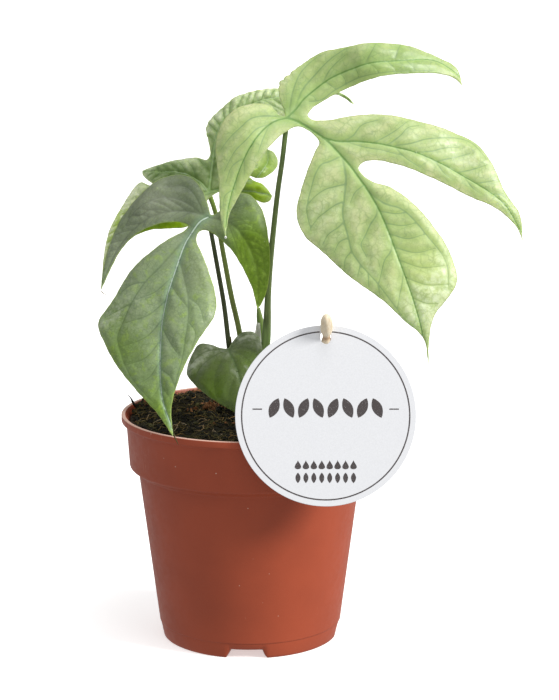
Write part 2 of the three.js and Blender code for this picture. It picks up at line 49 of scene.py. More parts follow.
pot_axis = np.array([(pot_low.x + pot_high.x) / 2, (pot_low.y + pot_high.y) / 2, pot_low.z])
MM = 0.001
TURN = 2 * math.pi

# The photograph's camera, fitted to the pot's lip and taper and to the round tag.
PHOTO_SIZE = (559, 700)
CAMERA_PLACE = (14, -1000, 340)
CAMERA_PITCH = 11.5  # degrees below the horizon
CAMERA_FOCUS = 2189  # focal length in pixels of the photograph
SENSOR = 36

POT = {
    "height": 107, "lip_radius": 60, "lip_height": 3.4, "lip_edge": 0.4, "lip_width": 1.8, "wall": 1.3,
    "band_top": 57.7, "band_foot_radius": 56.4, "band_foot": 83,
    "shoulder": 79, "shoulder_radius": 52.2,
    "step": 7.4, "step_radius": 43, "step_depth": 0.2, "inside_step": 13.4,
    "foot_radius": 41.4, "foot_width": 2.6, "floor": 3.6, "floor_thickness": 1.4,
    "notches": 4, "notch_width": 15, "notch_height": 4.3, "notch_slant": 2, "notch_turn": -0.03,
    "drains": 8, "drain_radius": 3.5, "drain_circle": 29, "segments": 240,
}
SOIL = {
    "edge": 104.7, "mound": 2.2, "radius": 55.9, "grid": 0.75, "rim_points": 460, "wall_gap": 1.7,
    "crumbs": 3600, "crumb_reach": 54.6, "fibres": 1500, "fibre_reach": 54, "fibre_limit": 56.2,
    "bark_reach": 54, "stem_room": 8,
}
SOIL_MOUNDS = [(-20, 34, 12, 4.6), (-6, 38, 9, 2), (0, 1, 8, 1)]  # x, y, spread, height
BARK_HEAPS = [  # x, y, spread, count
    (-17, 11, 8, 60), (-13, 25, 5, 9), (-25, 31, 4, 4), (-27, 3, 4, 5), (-10, -24, 6, 3),
]
TAG = {
    "radius": 40, "thickness": 0.8, "centre": (34.4, -58.7, 118.9), "lean_back": 13.2,
    "hole_above": 34.8, "hole_radius": 2.4, "hole_height": 3.1, "ring_radius": 37.1, "ring_width": 0.58,
    "ring_gap": 0.071,
}
# The print: a row of leaves between two dashes, and below it a row of drops and one of small leaves. Shapes
# are given by length and width, and rows by their places from the tag's middle.
PRINT = {
    "in_row": 8, "ink": (0.005, 0.045),
    "leaf": (9.4, 4.4), "leaf_pitch": 6.5, "leaf_up": 3.4, "leaf_tilt": 0.42,
    "dash": (4.2, 0.52), "dash_aside": 30.2, "dash_up": 2.9,
    "drop": 4, "drop_up": -21.6, "small_leaf": (4.6, 2.2), "small_leaf_up": -27.4, "small_pitch": 3.5,
}
PICK_LEAN = 24
PICK_SECTION = [
    (0, -84), (1, -81), (2.2, -72), (2.25, -9), (2.25, -2.6), (2.1, -1.5), (1.75, -0.6), (1.68, 0.4),
    (1.75, 1.3), (2.15, 2.4), (2.5, 3.5), (2.62, 4.8), (2.66, 6.6), (2.6, 8.2), (2.3, 9.8), (1.75, 11),
    (0.9, 11.7), (0, 11.9),
]

# Stalks are points (x, y, z, radius).
STEM = [(0, 1, 76, 4), (0, 1, 94, 5.2), (0, 1, 108, 5.2), (0.5, 0.8, 113, 4.6), (0.9, 0.6, 116.4, 4.3),
        (1, 0.5, 117.8, 3.4), (1, 0.5, 118.6, 1.6)]
SHOOT = [
    (1.6, 2.6, 112, 2), (2.2, 3.6, 118.6, 1.6), (3.4, 4.3, 128, 1.9), (5.4, 4.5, 140, 1.9),
    (5.3, 4.4, 147, 1.75), (4.6, 4.3, 152, 1.35), (4.2, 4.2, 155.6, 0.8),
]
SCALE = {
    "foot": (2.8, 4.1, 122), "top": (5.2, 4.4, 149), "inner": 2.4, "wall": 0.3,
    "facing": -2, "spread_foot": 1.7, "spread_top": 0.3,
}

BLADE_THICKNESS = 0.45
MARGIN_THICKNESS = 0.16
MARGIN_WIDTH = 1.2  # over which a blade thins out
MARGIN_STEP = 0.6
LINE_STEP = 0.7
LINE_TAPER = 0.35  # of a line's half width is left at its end
STALK_STEP = 1.2
KNEE_LENGTH = 6
BLADE_GRID = 0.75
FLAT_START = 30  # the square of about how far from its base a blade stays flat
FOLD_REACH = 9
WAVE_SCALE = 0.09
CELL_WALL = 1.3
CELL_DISORDER = 0.6
VEIN_SHARE = 0.4  # of a rib's relief
UV_SPAN = 100  # millimetres in one unit of the UV map
BLOCK = 2000  # points worked out at a time
ROOM = 14  # radius of the floor and of the backdrop, in metres
WHITE = (1, 1, 1, 1)

# Each blade is drawn in its own plane: u to the right and v towards the tip, seen from the front. A run of
# the outline goes from one pointed tip to the next, and rises gives points of the blade above its plane.
# Ribs and veins are lines with the half width at their start, and the first ribs, as many as bold says, are
# strong ones. Pinnate adds side veins: their rib's number, where along it they start and end, their spacing,
# angle, length and half width. Ripples wave the margin: u, v, spread, height and length. Three lists are
# coloured patches, each u, v, radius and strength: yellow-green ones, partly the blade's own tone and partly
# painted glow of light shining through it; darker ones, partly its own tone and partly painted shade; and
# pale ones, which are painted sheen and highlights. A petiole's section is its groove, wings and wing
# height.
LEAF_RIGHT = {
    "slot": "leaf_light",
    "petiole": [
        (2.6, -0.6, 111, 2.7), (3.8, -1.4, 118.8, 2.2), (6.2, -1.6, 130, 2.1), (7.7, -1.6, 141, 2.1),
        (8.3, -1.4, 151, 1.8), (8.6, -1.2, 161, 1.5), (9.4, -1.3, 174, 1.4), (11, -2, 191, 1.3),
        (13.3, -3.6, 212, 1.2), (15.3, -5, 226, 1.15),
    ],
    "petiole_look": "olive", "petiole_slot": "stalk_green", "section": (0.12, 0.35, 0.26), "knee": 0.12,
    "base": (17.4, -8, 245.4), "facing": (0, -1, 0.5), "towards_tip": (0.477, -0.393, -0.786),
    "bold": 4,
    "outline": [
        [(-51, 36), (-48, 25.5), (-41, 11), (-37, 1), (-34.5, -4), (-27.5, -11), (-19, -14), (-10, -12.5),
         (-4, -8.5), (-2.6, -3), (-0.4, -1.3), (1.5, -9), (5, -16.5), (11.5, -18.5), (19, -20),
         (28.5, -20.5), (41, -15.5), (54, -10.5), (66.5, -4.5), (77.5, 5), (82.5, 12), (80.5, 21)],
        [(80.5, 21), (79, 16.5), (73, 12), (60, 7.5), (48, 4), (32.5, 0.5), (22.5, 0), (12.5, 1), (9, 3.2),
         (10, 6), (16.5, 10), (25.5, 13), (33.5, 17), (43, 23.5), (53.5, 32.5), (63.5, 42), (70, 50),
         (72, 62), (71, 75.5), (72.5, 87.5), (68, 98.5)],
        [(68, 98.5), (68.5, 92), (64.5, 82.5), (55, 71), (46, 59.5), (36, 49), (26, 39.5), (19.5, 36.5),
         (16, 37.5), (17.5, 45.5), (24, 52.5), (29, 61.5), (32.5, 74), (34, 89.5), (31, 102), (25, 106.5),
         (14, 111.5), (8, 118), (1.5, 129)],
        [(1.5, 129), (5, 118), (1, 107.5), (-4, 94), (-11, 79), (-16.5, 61.5), (-19.5, 52), (-18, 42),
         (-11, 33.5), (-2.5, 25.5), (4, 20), (7, 17.5), (6, 10.5), (2.6, 6), (-6, 6.5), (-14.5, 9.5),
         (-25, 15), (-36.5, 22), (-44.5, 27.5), (-51, 36)],
    ],
    "rises": [
        (0, 0, 0), (14, 40, 4), (15, 62, 3), (8, 100, -3), (0, 131, -12), (33, 85, -3), (-12, 82, -3),
        (-20, 50, -3), (42, -6, 5), (78, 20, -10), (30, -21, 0), (66, -4, -2), (35, 1, 0), (45, 44, 4),
        (65, 100, -14), (63, 43, -2), (70, 76, -7), (46, 60, -1), (-22, 0, 4), (-51, 38, -3), (-36, -3, -1),
        (-26, 16, 1),
    ],
    "ribs": [
        (0.75, [(0, 0), (4, 4.5), (9, 14.5), (12, 26), (14, 43), (14.5, 59.5), (11.5, 84), (7.5, 108),
                (2, 128.5)]),
        (0.6, [(0, 0), (6, -2.2), (12, -5), (26.5, -7.5), (40.5, -5), (58.5, 0.5), (74.5, 5.5), (82, 16)]),
        (0.6, [(9.6, 16.5), (14, 21), (23, 26.5), (35, 37), (48.5, 50.5), (59.5, 65.5), (68, 81),
                (69.5, 94.5)]),
        (0.55, [(0, 0), (-5.5, -0.6), (-11.5, 0.5), (-22.5, 6), (-32, 13), (-43, 24), (-50, 34)]),
    ],
    "veins": [
        (0.55, [(1, 0), (4.5, -5), (8.7, -10.3), (15.3, -16), (21, -18.4), (26, -19.3)]),
        (0.6, [(3, 0), (13, -9), (21.5, -12.5), (30.5, -15), (38.5, -15.5)]),
        (0.45, [(22.5, -7.5), (28.5, -11), (37, -13)]),
        (0.45, [(43.5, -5), (48, -8), (51.5, -10.5)]),
        (0.4, [(56.5, -1), (60, -4.5), (62, -6)]),
        (0.35, [(13, -2.5), (18.2, -0.8), (26, -1.8), (36.3, -1.2), (46.4, 1.9), (58, 5.6), (72, 10)]),
        (0.3, [(14.5, -5.5), (15.7, -4), (16.1, -1.6)]), (0.3, [(24, -7.3), (25, -5), (26.3, -1.8)]),
        (0.3, [(31.5, -6.8), (32, -4), (31.5, -1.6)]), (0.3, [(38, -5.6), (38.2, -3), (37.5, -1)]),
        (0.3, [(44.5, -4), (46, -1), (46.6, 2)]), (0.3, [(52.7, -1.2), (53.7, 2), (54.2, 4.4)]),
        (0.3, [(61, 1.4), (62.5, 5), (63, 7)]),
        (0.5, [(16, 22.5), (21.5, 22.5), (27.5, 20), (35, 21.5)]),
        (0.45, [(27, 30.3), (33, 30.5), (40, 30), (46.5, 28.5)]),
        (0.45, [(32, 34.5), (39.5, 33.5), (45, 31.5), (50, 32.5)]),
        (0.45, [(35.5, 36.5), (42, 39), (49, 40), (55.5, 42), (62.5, 44.5), (68, 49), (70.5, 58)]),
        (0.45, [(42, 43.7), (49, 46), (55.5, 47), (62, 49)]),
        (0.45, [(49, 51), (57.5, 52.5), (65, 53.5)]), (0.45, [(55, 59), (63.5, 61), (69, 61.5)]),
        (0.45, [(60.5, 67), (67, 69), (70.5, 69.5)]), (0.4, [(64, 74), (68, 76), (70.5, 79)]),
        (0.4, [(18, 24), (24, 31), (30, 36.5), (36, 42.5)]), (0.4, [(35, 37.5), (37, 45), (40.5, 50.5)]),
        (0.4, [(48, 50), (49.5, 57.5), (51.5, 61)]), (0.4, [(57, 62), (58, 68), (60, 72)]),
        (0.6, [(12.5, 29), (8.5, 39.5), (3.5, 47), (-0.5, 53), (-3.5, 64), (-5, 69.5), (-4.5, 76),
               (-2, 87), (-0.5, 96.5), (1.5, 106.5), (4.5, 114)]),
        (0.5, [(12.4, 28.5), (6.5, 28.5), (2.5, 28), (-2, 30.5), (-7, 35.5), (-13, 42.5), (-16, 52)]),
        (0.45, [(7.5, 41.5), (2.5, 40), (-1.5, 39), (-7.5, 39.5), (-11.5, 41)]),
        (0.45, [(2.5, 48), (-1.5, 47.5), (-6.5, 48), (-10.5, 48.5), (-15, 50.5)]),
        (0.45, [(-1.2, 56), (-5, 57), (-10.5, 57.5), (-14.5, 60)]),
        (0.4, [(-3.3, 63.5), (-7.5, 63), (-12, 66)]), (0.4, [(-5, 69.5), (-9, 71), (-11.5, 74.5)]),
        (0.4, [(-4.5, 76.5), (-8, 80.5)]), (0.4, [(-3.5, 82), (-6, 87)]), (0.35, [(-2, 88), (-3.5, 93)]),
        (0.5, [(14.4, 57), (12.5, 60.5), (8, 63), (4, 66), (0, 69), (-0.5, 75)]),
        (0.5, [(13.3, 72), (10.5, 77.5), (6, 80), (3, 83), (-1, 87.5)]),
        (0.45, [(10.8, 88), (7.5, 93), (4, 97), (1, 101)]), (0.4, [(14.2, 46), (9, 47), (5, 50)]),
        (0.55, [(13.8, 42), (14.6, 50), (18, 58), (23, 63), (25.5, 68), (28.5, 81), (30, 88), (30, 94),
                (25.5, 104)]),
        (0.4, [(14.6, 60), (19, 63.5), (24.5, 66)]), (0.4, [(14.3, 66), (20, 70), (26.5, 72)]),
        (0.4, [(13.6, 71), (20, 76.5), (27.5, 78)]), (0.4, [(12.6, 77), (20, 83.5), (28.5, 85.5)]),
        (0.4, [(11.6, 83), (19, 90.5), (28.5, 94)]), (0.4, [(10.4, 91), (17, 98), (26, 102)]),
        (0.35, [(8.8, 100), (13, 105), (18, 107.5)]),
        (0.5, [(-1, -1), (-10, -5), (-15.5, -6), (-21.5, -4.5), (-27.5, -3), (-33.5, -0.5)]),
        (0.4, [(-8, -0.2), (-15, -0.5), (-22, 2), (-29, 4), (-37, 9)]),
        (0.4, [(-9, 0), (-14, 4), (-20, 9.5)]), (0.4, [(-20, 4.7), (-26, 8.5), (-30, 15)]),
        (0.4, [(-26, 8.5), (-33, 9), (-39, 14)]), (0.35, [(-34, 15), (-37, 20)]),
        (0.35, [(-37, 18), (-42, 19), (-45, 23)]),
    ],
    "pinnate": [],
    "ripples": [(8, -17, 9, 0.75, 3.7), (-1, -7, 5, 0.5, 3.4)],
    "yellow_and_painted_glow": [(20, 95, 14, 0.5), (45, 10, 10, 0.3), (-30, 20, 10, 0.2)],
    "dark_tone_and_painted_shade": [(0, 0, 8, 0.5), (6, -6, 9, 0.4), (20, -8, 12, 0.12), (42, -6, 13, 0.45), (62, 2, 14, 0.6),
             (14, 20, 8, 0.2), (10, 76, 12, 0.15)],
    "painted_sheen": [(47, 36, 6, 0.35), (57, 45, 6, 0.5), (64, 56, 6, 0.5), (68, 68, 5, 0.35), (28, 92, 5, 0.4),
             (25, 101, 6, 0.5), (13, 106, 12, 0.9), (30, 15, 6, 0.35), (-14, 14, 7, 0.3), (-7, 48, 13, 0.4),
             (-4, 80, 8, 0.3)],
}
LEAF_FRONT = {
    "slot": "leaf_dusky",
    "petiole": [
        (-2.4, -0.4, 103, 2.4), (-5.2, -1.8, 112, 1.9), (-7.6, -3.5, 125, 1.4), (-9.4, -4.5, 139, 1.2),
        (-11.6, -6, 159, 1.1), (-14.6, -9, 178, 1.05), (-17.2, -12, 194, 1),
    ],
    "petiole_look": "dark", "petiole_slot": "stalk_dark", "section": (0.1, 0.25, 0.2), "knee": 0.12,
    "base": (-18.5, -14, 201), "facing": (-0.25, -1, 0.52), "towards_tip": (-0.139, -0.429, -0.892),
    "bold": 1,
    "outline": [
        [(25.5, 38), (28.5, 29.5), (29.5, 17.5), (28, 5), (24, -6), (18, -12), (13, -12.5), (9, -9),
         (5.5, -4), (1.4, -1.3), (-1, -6.5), (-5, -13.5), (-11.5, -18.5), (-18.5, -18.5), (-25, -15),
         (-32, -6.5), (-39.5, 4.5), (-43.5, 16.5), (-45.5, 31), (-45, 38.5)],
        [(-45, 38.5), (-42.5, 30.5), (-38, 20), (-31.5, 12.5), (-20.5, 6.5), (-12, 4.4), (-8, 5.4),
         (-9, 7.6), (-19, 16.5), (-31.5, 30), (-38, 42.5), (-44, 53.5), (-38.5, 64), (-32, 72.5),
         (-20, 84), (-10, 92.5), (-1.5, 102)],
        [(-1.5, 102), (-4, 89), (-0.5, 71.5), (4.5, 58), (9.5, 46), (8.5, 36), (2, 21), (-3.4, 11),
         (-2.5, 7.2), (1, 6.6), (6.5, 9.5), (12.5, 14), (18, 21), (22.5, 29), (25.5, 38)],
    ],
    "rises": [
        (0, 0, 0), (-12, 28, 3), (-13, 58, 1), (0, 104, -4), (-40, 52, -2), (-28, 72, -2), (8, 50, -2),
        (0, 78, -2), (-28, -2, 6), (-18, -18, 0), (-40, 1, 3), (-48, 34, 0), (20, 5, -2), (32, 10, -9),
        (28, 40, -16), (12, 14, -3),
    ],
    "ribs": [
        (0.48, [(0, 0), (-3, 2.5), (-6.5, 10), (-10.5, 27), (-13, 48), (-12.5, 62), (-8.5, 86),
                (-1, 101.5)]),
        (0.6, [(0, 0), (-6, -1.3), (-15, -0.5), (-27.5, 5.5), (-39, 18.5), (-45, 35)]),
        (0.6, [(0, 0), (8, 1.5), (15.5, 5.5), (23.5, 18.5), (25.5, 35.5)]),
    ],
    "veins": [
        (0.5, [(-2, -0.6), (-11, -5.5), (-20.5, -6.5), (-26.5, -3.5), (-33, 2), (-38, 10)]),
        (0.4, [(-2, -1), (-6, -8), (-12, -13), (-20, -12)]), (0.35, [(-17, 0), (-24, 0), (-31, 4)]),
        (0.55, [(-6, 9), (-12, 18.5), (-17.5, 27), (-23, 34), (-28, 43), (-31, 51.5), (-33, 59.5),
                (-30.5, 67), (-26.5, 74), (-20.5, 81), (-12, 88)]),
        (0.5, [(-9.5, 22), (-5.5, 31), (-2.5, 39.5), (-1, 49), (-1, 58.5), (-1.5, 67.5), (-3, 76.5),
               (-3.5, 88)]),
        (0.4, [(-12.5, 54), (-7, 61.5), (-3, 66)]), (0.4, [(-11, 72.5), (-5.5, 76), (-3.5, 80)]),
        (0.4, [(-11.5, 34), (-6, 40), (-2, 44)]), (0.35, [(-9.5, 80), (-6, 84), (-4, 86)]),
        (0.4, [(-11, 30), (-18, 38), (-26, 42)]), (0.4, [(-12.5, 41), (-20, 49), (-30, 53)]),
        (0.4, [(-13, 50), (-20, 59), (-31, 64)]), (0.4, [(-12.6, 59), (-18, 68), (-27, 72)]),
        (0.4, [(-11.4, 68), (-15, 76), (-20, 80)]), (0.35, [(-10, 78), (-12, 84), (-14, 87)]),
        (0.35, [(-23, 34), (-30, 36), (-35, 40)]), (0.35, [(-28.5, 44), (-34, 47), (-41, 51)]),
        (0.35, [(-2.5, 39), (3, 43), (6, 50)]), (0.35, [(-1, 50), (3, 55), (2, 62)]),
        (0.4, [(10, 2.5), (14, 10), (17, 17)]), (0.35, [(17, 7.5), (19, 16), (21.5, 24)]),
        (0.35, [(12, 3.5), (19, 2), (25, 6)]), (0.35, [(20, 12), (25, 12), (27.5, 20)]),
        (0.35, [(4, 0.5), (10, -4), (16, -7)]),
    ],
    "pinnate": [(1, 8, 52, 5.2, 42, 12, 0.35), (2, 10, 40, 5.5, 45, 10, 0.35)],
    "ripples": [],
    "yellow_and_painted_glow": [(25, 30, 17, 1), (22, 9, 14, 0.9), (-30, 66, 12, 0.6), (-10, 92, 13, 0.8), (4, 60, 8, 0.4),
             (-36, 50, 8, 0.4)],
    "dark_tone_and_painted_shade": [(-25, -5, 22, 1), (-40, 22, 12, 0.6), (8, 0, 9, 0.5), (-2, 30, 10, 0.5)],
    "painted_sheen": [(-42, 54, 3, 0.6), (-38, 51, 3, 0.5), (-34, 48, 3, 0.4), (-30, 44, 12, 0.4), (-10, 60, 9, 0.2),
             (9, 46, 6, 0.3), (4, 58, 6, 0.3), (-42, 20, 8, 0.3), (-28, 2, 5, 0.25)],
}
LEAF_BACK = {
    "slot": "leaf_mid",
    "petiole": [
        (-1, 1.2, 111, 2.4), (-1.9, 1.4, 118.8, 1.7), (-3.2, 3, 132, 1.4), (-4.9, 4.4, 145, 1.3),
        (-8.6, 6, 161.5, 1.25), (-11.8, 6.8, 179, 1.15), (-15.9, 7.2, 200.8, 1.05),
    ],
    "petiole_look": "brown", "petiole_slot": "stalk_green", "section": (0.1, 0.3, 0.25), "knee": 0.12,
    "base": (-18.6, 5, 210), "facing": (0.1, -1, 0.62), "towards_tip": (-0.716, -0.418, -0.559),
    "bold": 5,
    "outline": [
        [(-3, 64), (-11.5, 55), (-18.8, 45), (-22.2, 37), (-24.8, 29), (-26.3, 22), (-25.6, 18.6),
         (-21.5, 17.9), (-17, 17.2), (-13, 15.8), (-11.4, 14.9), (-13, 14.3), (-17, 15.6), (-21.5, 16.4),
         (-25.5, 16), (-28.5, 15), (-30.5, 13.5)],
        [(-30.5, 13.5), (-28.5, 10.5), (-24.5, 4.5), (-21, -1.5), (-16, -7.6), (-12, -9.4), (-12.6, -12.4),
         (-22, -19.5), (-25.5, -22.5), (-28, -29), (-28, -35), (-27.5, -43), (-24.5, -50), (-17.5, -62),
         (-9, -75), (-3.2, -82), (0, -84.8), (5, -87), (10.5, -87)],
        [(10.5, -87), (8, -86), (5, -85.5), (1, -83.4), (-1.6, -80), (-3.2, -73), (-3.8, -64), (-5, -54.5),
         (-5, -44.5), (-4, -38), (-1.5, -34.5), (0.6, -37.6), (3.5, -39.2), (6.5, -38.5), (9.5, -36),
         (11.2, -30.5), (11, -24.8), (9, -21.4), (6.6, -18.9), (9.6, -20), (12.9, -22.3), (19, -23.5)],
        [(19, -23.5), (20, -20.6), (18.8, -17.4), (16, -15), (11.5, -12.4), (8.5, -9.8), (5.5, -7),
         (2.8, -3.5), (2.2, 1), (3.5, 9), (5.5, 18), (1, 25), (-5, 32.5), (-8, 39), (-8, 48), (-6.5, 57),
         (-3, 64)],
    ],
    "rises": [
        (0, 0, 0), (-8, 18, 1), (-8, 42, -5), (0, 67, -14), (4, 20, -3), (-22, 30, -7), (-18, 3, 4),
        (-29, 15, -5), (-21, -2, -1), (-12, -30, 6), (-27, -30, -3), (-22, -55, 0), (14, -82, -12),
        (8, -28, -1), (3, -35, -5), (21, -21, -8),
    ],
    "ribs": [
        (0.7, [(0, 0), (-3.5, 9), (-10.5, 21.5), (-12.5, 37.5), (-3, 64)]),
        (0.55, [(0, 0), (-5, 0.3), (-12.5, 3.5), (-20, 9), (-29, 13.4)]),
        (0.7, [(0, 0), (-8, -9.5), (-16, -19.5), (-21.5, -30.5), (-19.5, -45), (-11.5, -63.5),
               (-4, -77), (2, -85)]),
        (0.5, [(0, 0), (3, -5), (7, -10), (13.5, -17), (19, -23.5)]),
        (0.5, [(0, 0), (5, -11.5), (9, -20), (6.5, -31.5), (1.5, -37)]),
    ],
    "veins": [
        (0.35, [(7, -10), (11, -11.5), (14.5, -15)]), (0.35, [(6, -13.5), (9.5, -17), (10, -24)]),
        (0.35, [(8, -25.5), (4, -24), (1, -29)]),
    ],
    "pinnate": [(2, 9, 74, 4.1, 56, 12, 0.42), (0, 6, 62, 4.6, 52, 12, 0.85), (1, 6, 30, 4.4, 60, 9, 0.4)],
    "ripples": [(-25, -36, 26, 0.3, 4.1), (-12, -72, 12, 0.3, 4.1)],
    "yellow_and_painted_glow": [(14, -18, 9, 1), (7, -33, 8, 0.3), (1, 22, 9, 1), (-6, 30, 8, 1), (-8, 42, 12, 0.7),
             (-20, 40, 9, 0.8)],
    "dark_tone_and_painted_shade": [(-7, -9, 7, 0.6), (-11, 7, 8, 1), (-24, 11, 7, 0.6), (6, -86, 6, 1), (8, -31, 7, 0.62)],
    "painted_sheen": [(-24, 26, 8, 1), (-22, 36, 7, 1), (-18, 46, 7, 1), (-12, 55, 7, 1), (-27, -30, 8, 0.5),
             (-22, -52, 9, 0.6), (-12, -70, 8, 0.5), (-17, -2, 4, 0.5), (-27, 12, 3, 0.4)],
}
LEAF_SMALL = {
    "slot": "leaf_deep",
    "petiole": [(-0.6, -2.4, 103, 2), (-1.75, -5, 109.2, 1.5), (-4.2, -7.8, 120, 1.1), (-7, -9.5, 130, 1)],
    "petiole_look": "fresh", "petiole_slot": "stalk_green", "section": (0.1, 0, 0.3), "knee": 0.1,
    "base": (-9.3, -12, 139), "facing": (-0.1, -1, 0.75), "towards_tip": (0.252, -0.597, -0.762),
    "bold": 1,
    "outline": [
        [(0, 38), (8, 26.5), (13, 15), (15, 4), (15.1, -3), (12.9, -7.3), (8, -8.4), (2.6, -4.4), (0, -1.2),
         (-3, -2.4), (-8.5, -7), (-12.5, -8.5), (-18, -3), (-21.5, 4.5), (-19.5, 11.5), (-13.5, 22),
         (-5, 31.5), (0, 38)],
    ],
    "rises": [(0, 0, 0), (0, 8, 2.6), (0, 17, 4), (0, 39, -2), (-20, 9, -2.5), (15, 2, -2), (-12, -8, -3.5),
              (9, -8, -3)],
    "ribs": [
        (0.55, [(0, 0), (0.5, 6), (1, 13), (1, 24), (0, 37.5)]),
    ],
    "veins": [
        (0.45, [(0, 0), (-7, -2.5), (-13, -2.5), (-18.5, 0.5)]),
        (0.45, [(0, 0), (-7, 1), (-14, 4), (-19, 9)]),
        (0.45, [(0, 0), (-5, 6), (-9.5, 13), (-11, 21), (-7, 28)]),
        (0.45, [(0, 0), (5, 5), (8.5, 12), (8, 21), (4.5, 29)]),
        (0.45, [(0, 0), (7, 0.5), (12, 5), (13, 11)]),
        (0.4, [(0, 0), (6, -3), (11, -3.5), (14.5, 0)]), (0.4, [(0, 0), (4, -4), (9, -6.5), (13, -5.5)]),
        (0.3, [(1, 13), (4, 17), (6, 21)]), (0.3, [(1, 14), (-3, 19), (-6, 24)]),
        (0.3, [(1, 22), (3, 26), (4, 29)]), (0.3, [(1, 22), (-2, 27), (-3, 30)]),
    ],
    "pinnate": [],
    "ripples": [],
    "yellow_and_painted_glow": [(-12, 22, 9, 0.7), (10, 10, 7, 0.5), (-2, 34, 6, 0.5)],
    "dark_tone_and_painted_shade": [(-2, 12, 9, 0.4)],
    "painted_sheen": [(5, -4, 3, 0.9), (11, -5.5, 4, 0.8), (14.5, 0, 3.5, 0.6), (-1, 1, 3, 0.9), (-8, -3.5, 4, 0.7),
             (-15, 0.5, 4.5, 0.7), (-20, 3, 3, 0.7)],
}
LEAVES = {"right": LEAF_RIGHT, "front": LEAF_FRONT, "back": LEAF_BACK, "small": LEAF_SMALL}

# Relief, finish and colours of the blades, with one value for each of the four leaves in turn.
LEAF_RELIEFS = {
    "cell": (5.4, 6, 4.2, 4), "fold": (1.1, 2.2, 1.5, 0.7), "pucker": (0.54, 0.6, 0.85, 0.5),
    "pillow": (3, 2.4, 1.7, 2.4), "net": (0.12, 0.1, 0.6, 0.1), "calm": (4, 3, 2.5, 2.5),
    "groove": (0.24, 0.4, 0.32, 0.3), "roll": (0.6, 0.7, 0.8, 0.5), "roll_width": (2.2, 2, 1.6, 1.6),
    "wave": (0.8, 0.9, 0.8, 0.6), "ridge": (0.45, 0.4, 0.4, 0.3),
}
LEAF_LOOKS = {
    "roughness": (0.38, 0.46, 0.4, 0.27), "glow": (0.6, 0.25, 0.5, 0.2), "pillow": (5, 6, 2.1, 4),
    "mottle": (0.2, 0.5, 0.4, 0.5), "fine_net": (0.25, 0.4, 0.15, 0.2), "net": (0.34, 0.2, 0.2, 0.2),
    # Halo: share of the darker colour beside the veins, which is partly own tone and partly painted shade.
    "net_scale": (0.22, 0.3, 0.27, 0.24), "halo": (0.55, 0.35, 0.5, 0.3),
    "vein_line": (0.75, 0.52, 0.6, 0.4), "rib_halo": (0.45, 0.45, 0.4, 0.3),
    # The first value on the next line sets how strong the painted shadow line along the ribs is.
    "rib_painted_shadow_share": (0.2, 0.4, 0.4, 0.3), "margin_line": (0.6, 0.6, 0.5, 0.6),
    "blotch": (0.15, 0.5, 0.25, 0.35), "blotch_scale": (0.3, 0.28, 0.3, 0.22),
    "grain": (0.15, 0.42, 0.2, 0.35),
}
LEAF_COLOURS = {
    "lamina": [(192, 199, 150), (145, 161, 118), (184, 196, 152), (98, 115, 57)],
    # Darker beside the veins: partly each blade's own tone, partly painted shade in the sunken vein grooves.
    "beside_vein_tone_and_shade": [(161, 181, 118), (128, 147, 106), (126, 150, 88), (90, 106, 54)],
    "patch": [(185, 198, 136), (142, 158, 124), (164, 184, 124), (104, 122, 62)],
    # Yellow-green patch colours: partly each blade's own tone, partly painted glow of light shining through
    # it.
    "yellow_and_painted_glow": [(184, 202, 116), (104, 134, 24), (164, 196, 30), (96, 124, 38)],
    # Darker patch colours: partly each blade's own tone, partly painted shade.
    "dark_tone_and_painted_shade": [(126, 156, 86), (116, 124, 102), (76, 108, 32), (94, 106, 76)],
    "vein": [(126, 152, 104), (86, 106, 74), (96, 124, 64), (70, 86, 50)],
    # Halo beside the ribs: green on most leaves; the front leaf's bluish one paints a silver sheen by its
    # midrib.
    "beside_rib": [(156, 182, 114), (118, 150, 122), (124, 150, 84), (86, 104, 60)],
    # Painted shadow: a darker line along both sides of each rib.
    "rib_painted_shadow": [(120, 152, 88), (68, 90, 66), (84, 110, 58), (64, 82, 46)],
    # Ribs: the front leaf's whitish rib is partly its own pale rib and partly a painted highlight.
    "rib": [(102, 140, 70), (188, 206, 188), (148, 174, 114), (90, 110, 66)],
    "margin": [(150, 166, 118), (150, 172, 84), (190, 204, 150), (134, 156, 96)],
    "underside": [(190, 206, 164), (140, 160, 110), (150, 180, 90), (120, 145, 90)],
    "speck": [(140, 140, 90), (146, 166, 104), (120, 145, 80), (110, 135, 60)],
    # Spot colours: the back leaf's pale spots also paint glossy highlights.
    "blotch_tint": [(194, 206, 150), (144, 172, 62), (190, 206, 150), (104, 130, 58)],
    # Colour of the pale patches, which paint sheen and highlights.
    "painted_sheen": [(216, 226, 192), (184, 192, 168), (230, 236, 204), (206, 212, 192)],
}
# Colours of a stalk's middle, foot, top, stains and streaks, and how strong its stains are. The stains'
# colour also paints shade down one side of the stalk, as strongly as the stains.
STALK_LOOKS = {
    # The olive stalk's pale foot is partly the sheath's own paler green and partly painted light where it
    # lies in shadow.
    "olive": ([(106, 124, 72), (148, 184, 104), (96, 122, 62), (62, 76, 40), (134, 150, 92)], 0.6),
    "brown": ([(140, 158, 82), (138, 162, 82), (148, 178, 84), (92, 80, 42), (142, 158, 86)], 0.4),
    "dark": ([(74, 82, 50), (72, 78, 48), (92, 108, 66), (42, 45, 29), (120, 130, 88)], 0.6),
    "base": ([(118, 116, 74), (104, 90, 62), (118, 142, 76), (80, 70, 44), (142, 146, 98)], 0.5),
    "fresh": ([(130, 158, 82), (108, 134, 66), (134, 160, 84), (78, 104, 42), (138, 160, 92)], 0.5),
}

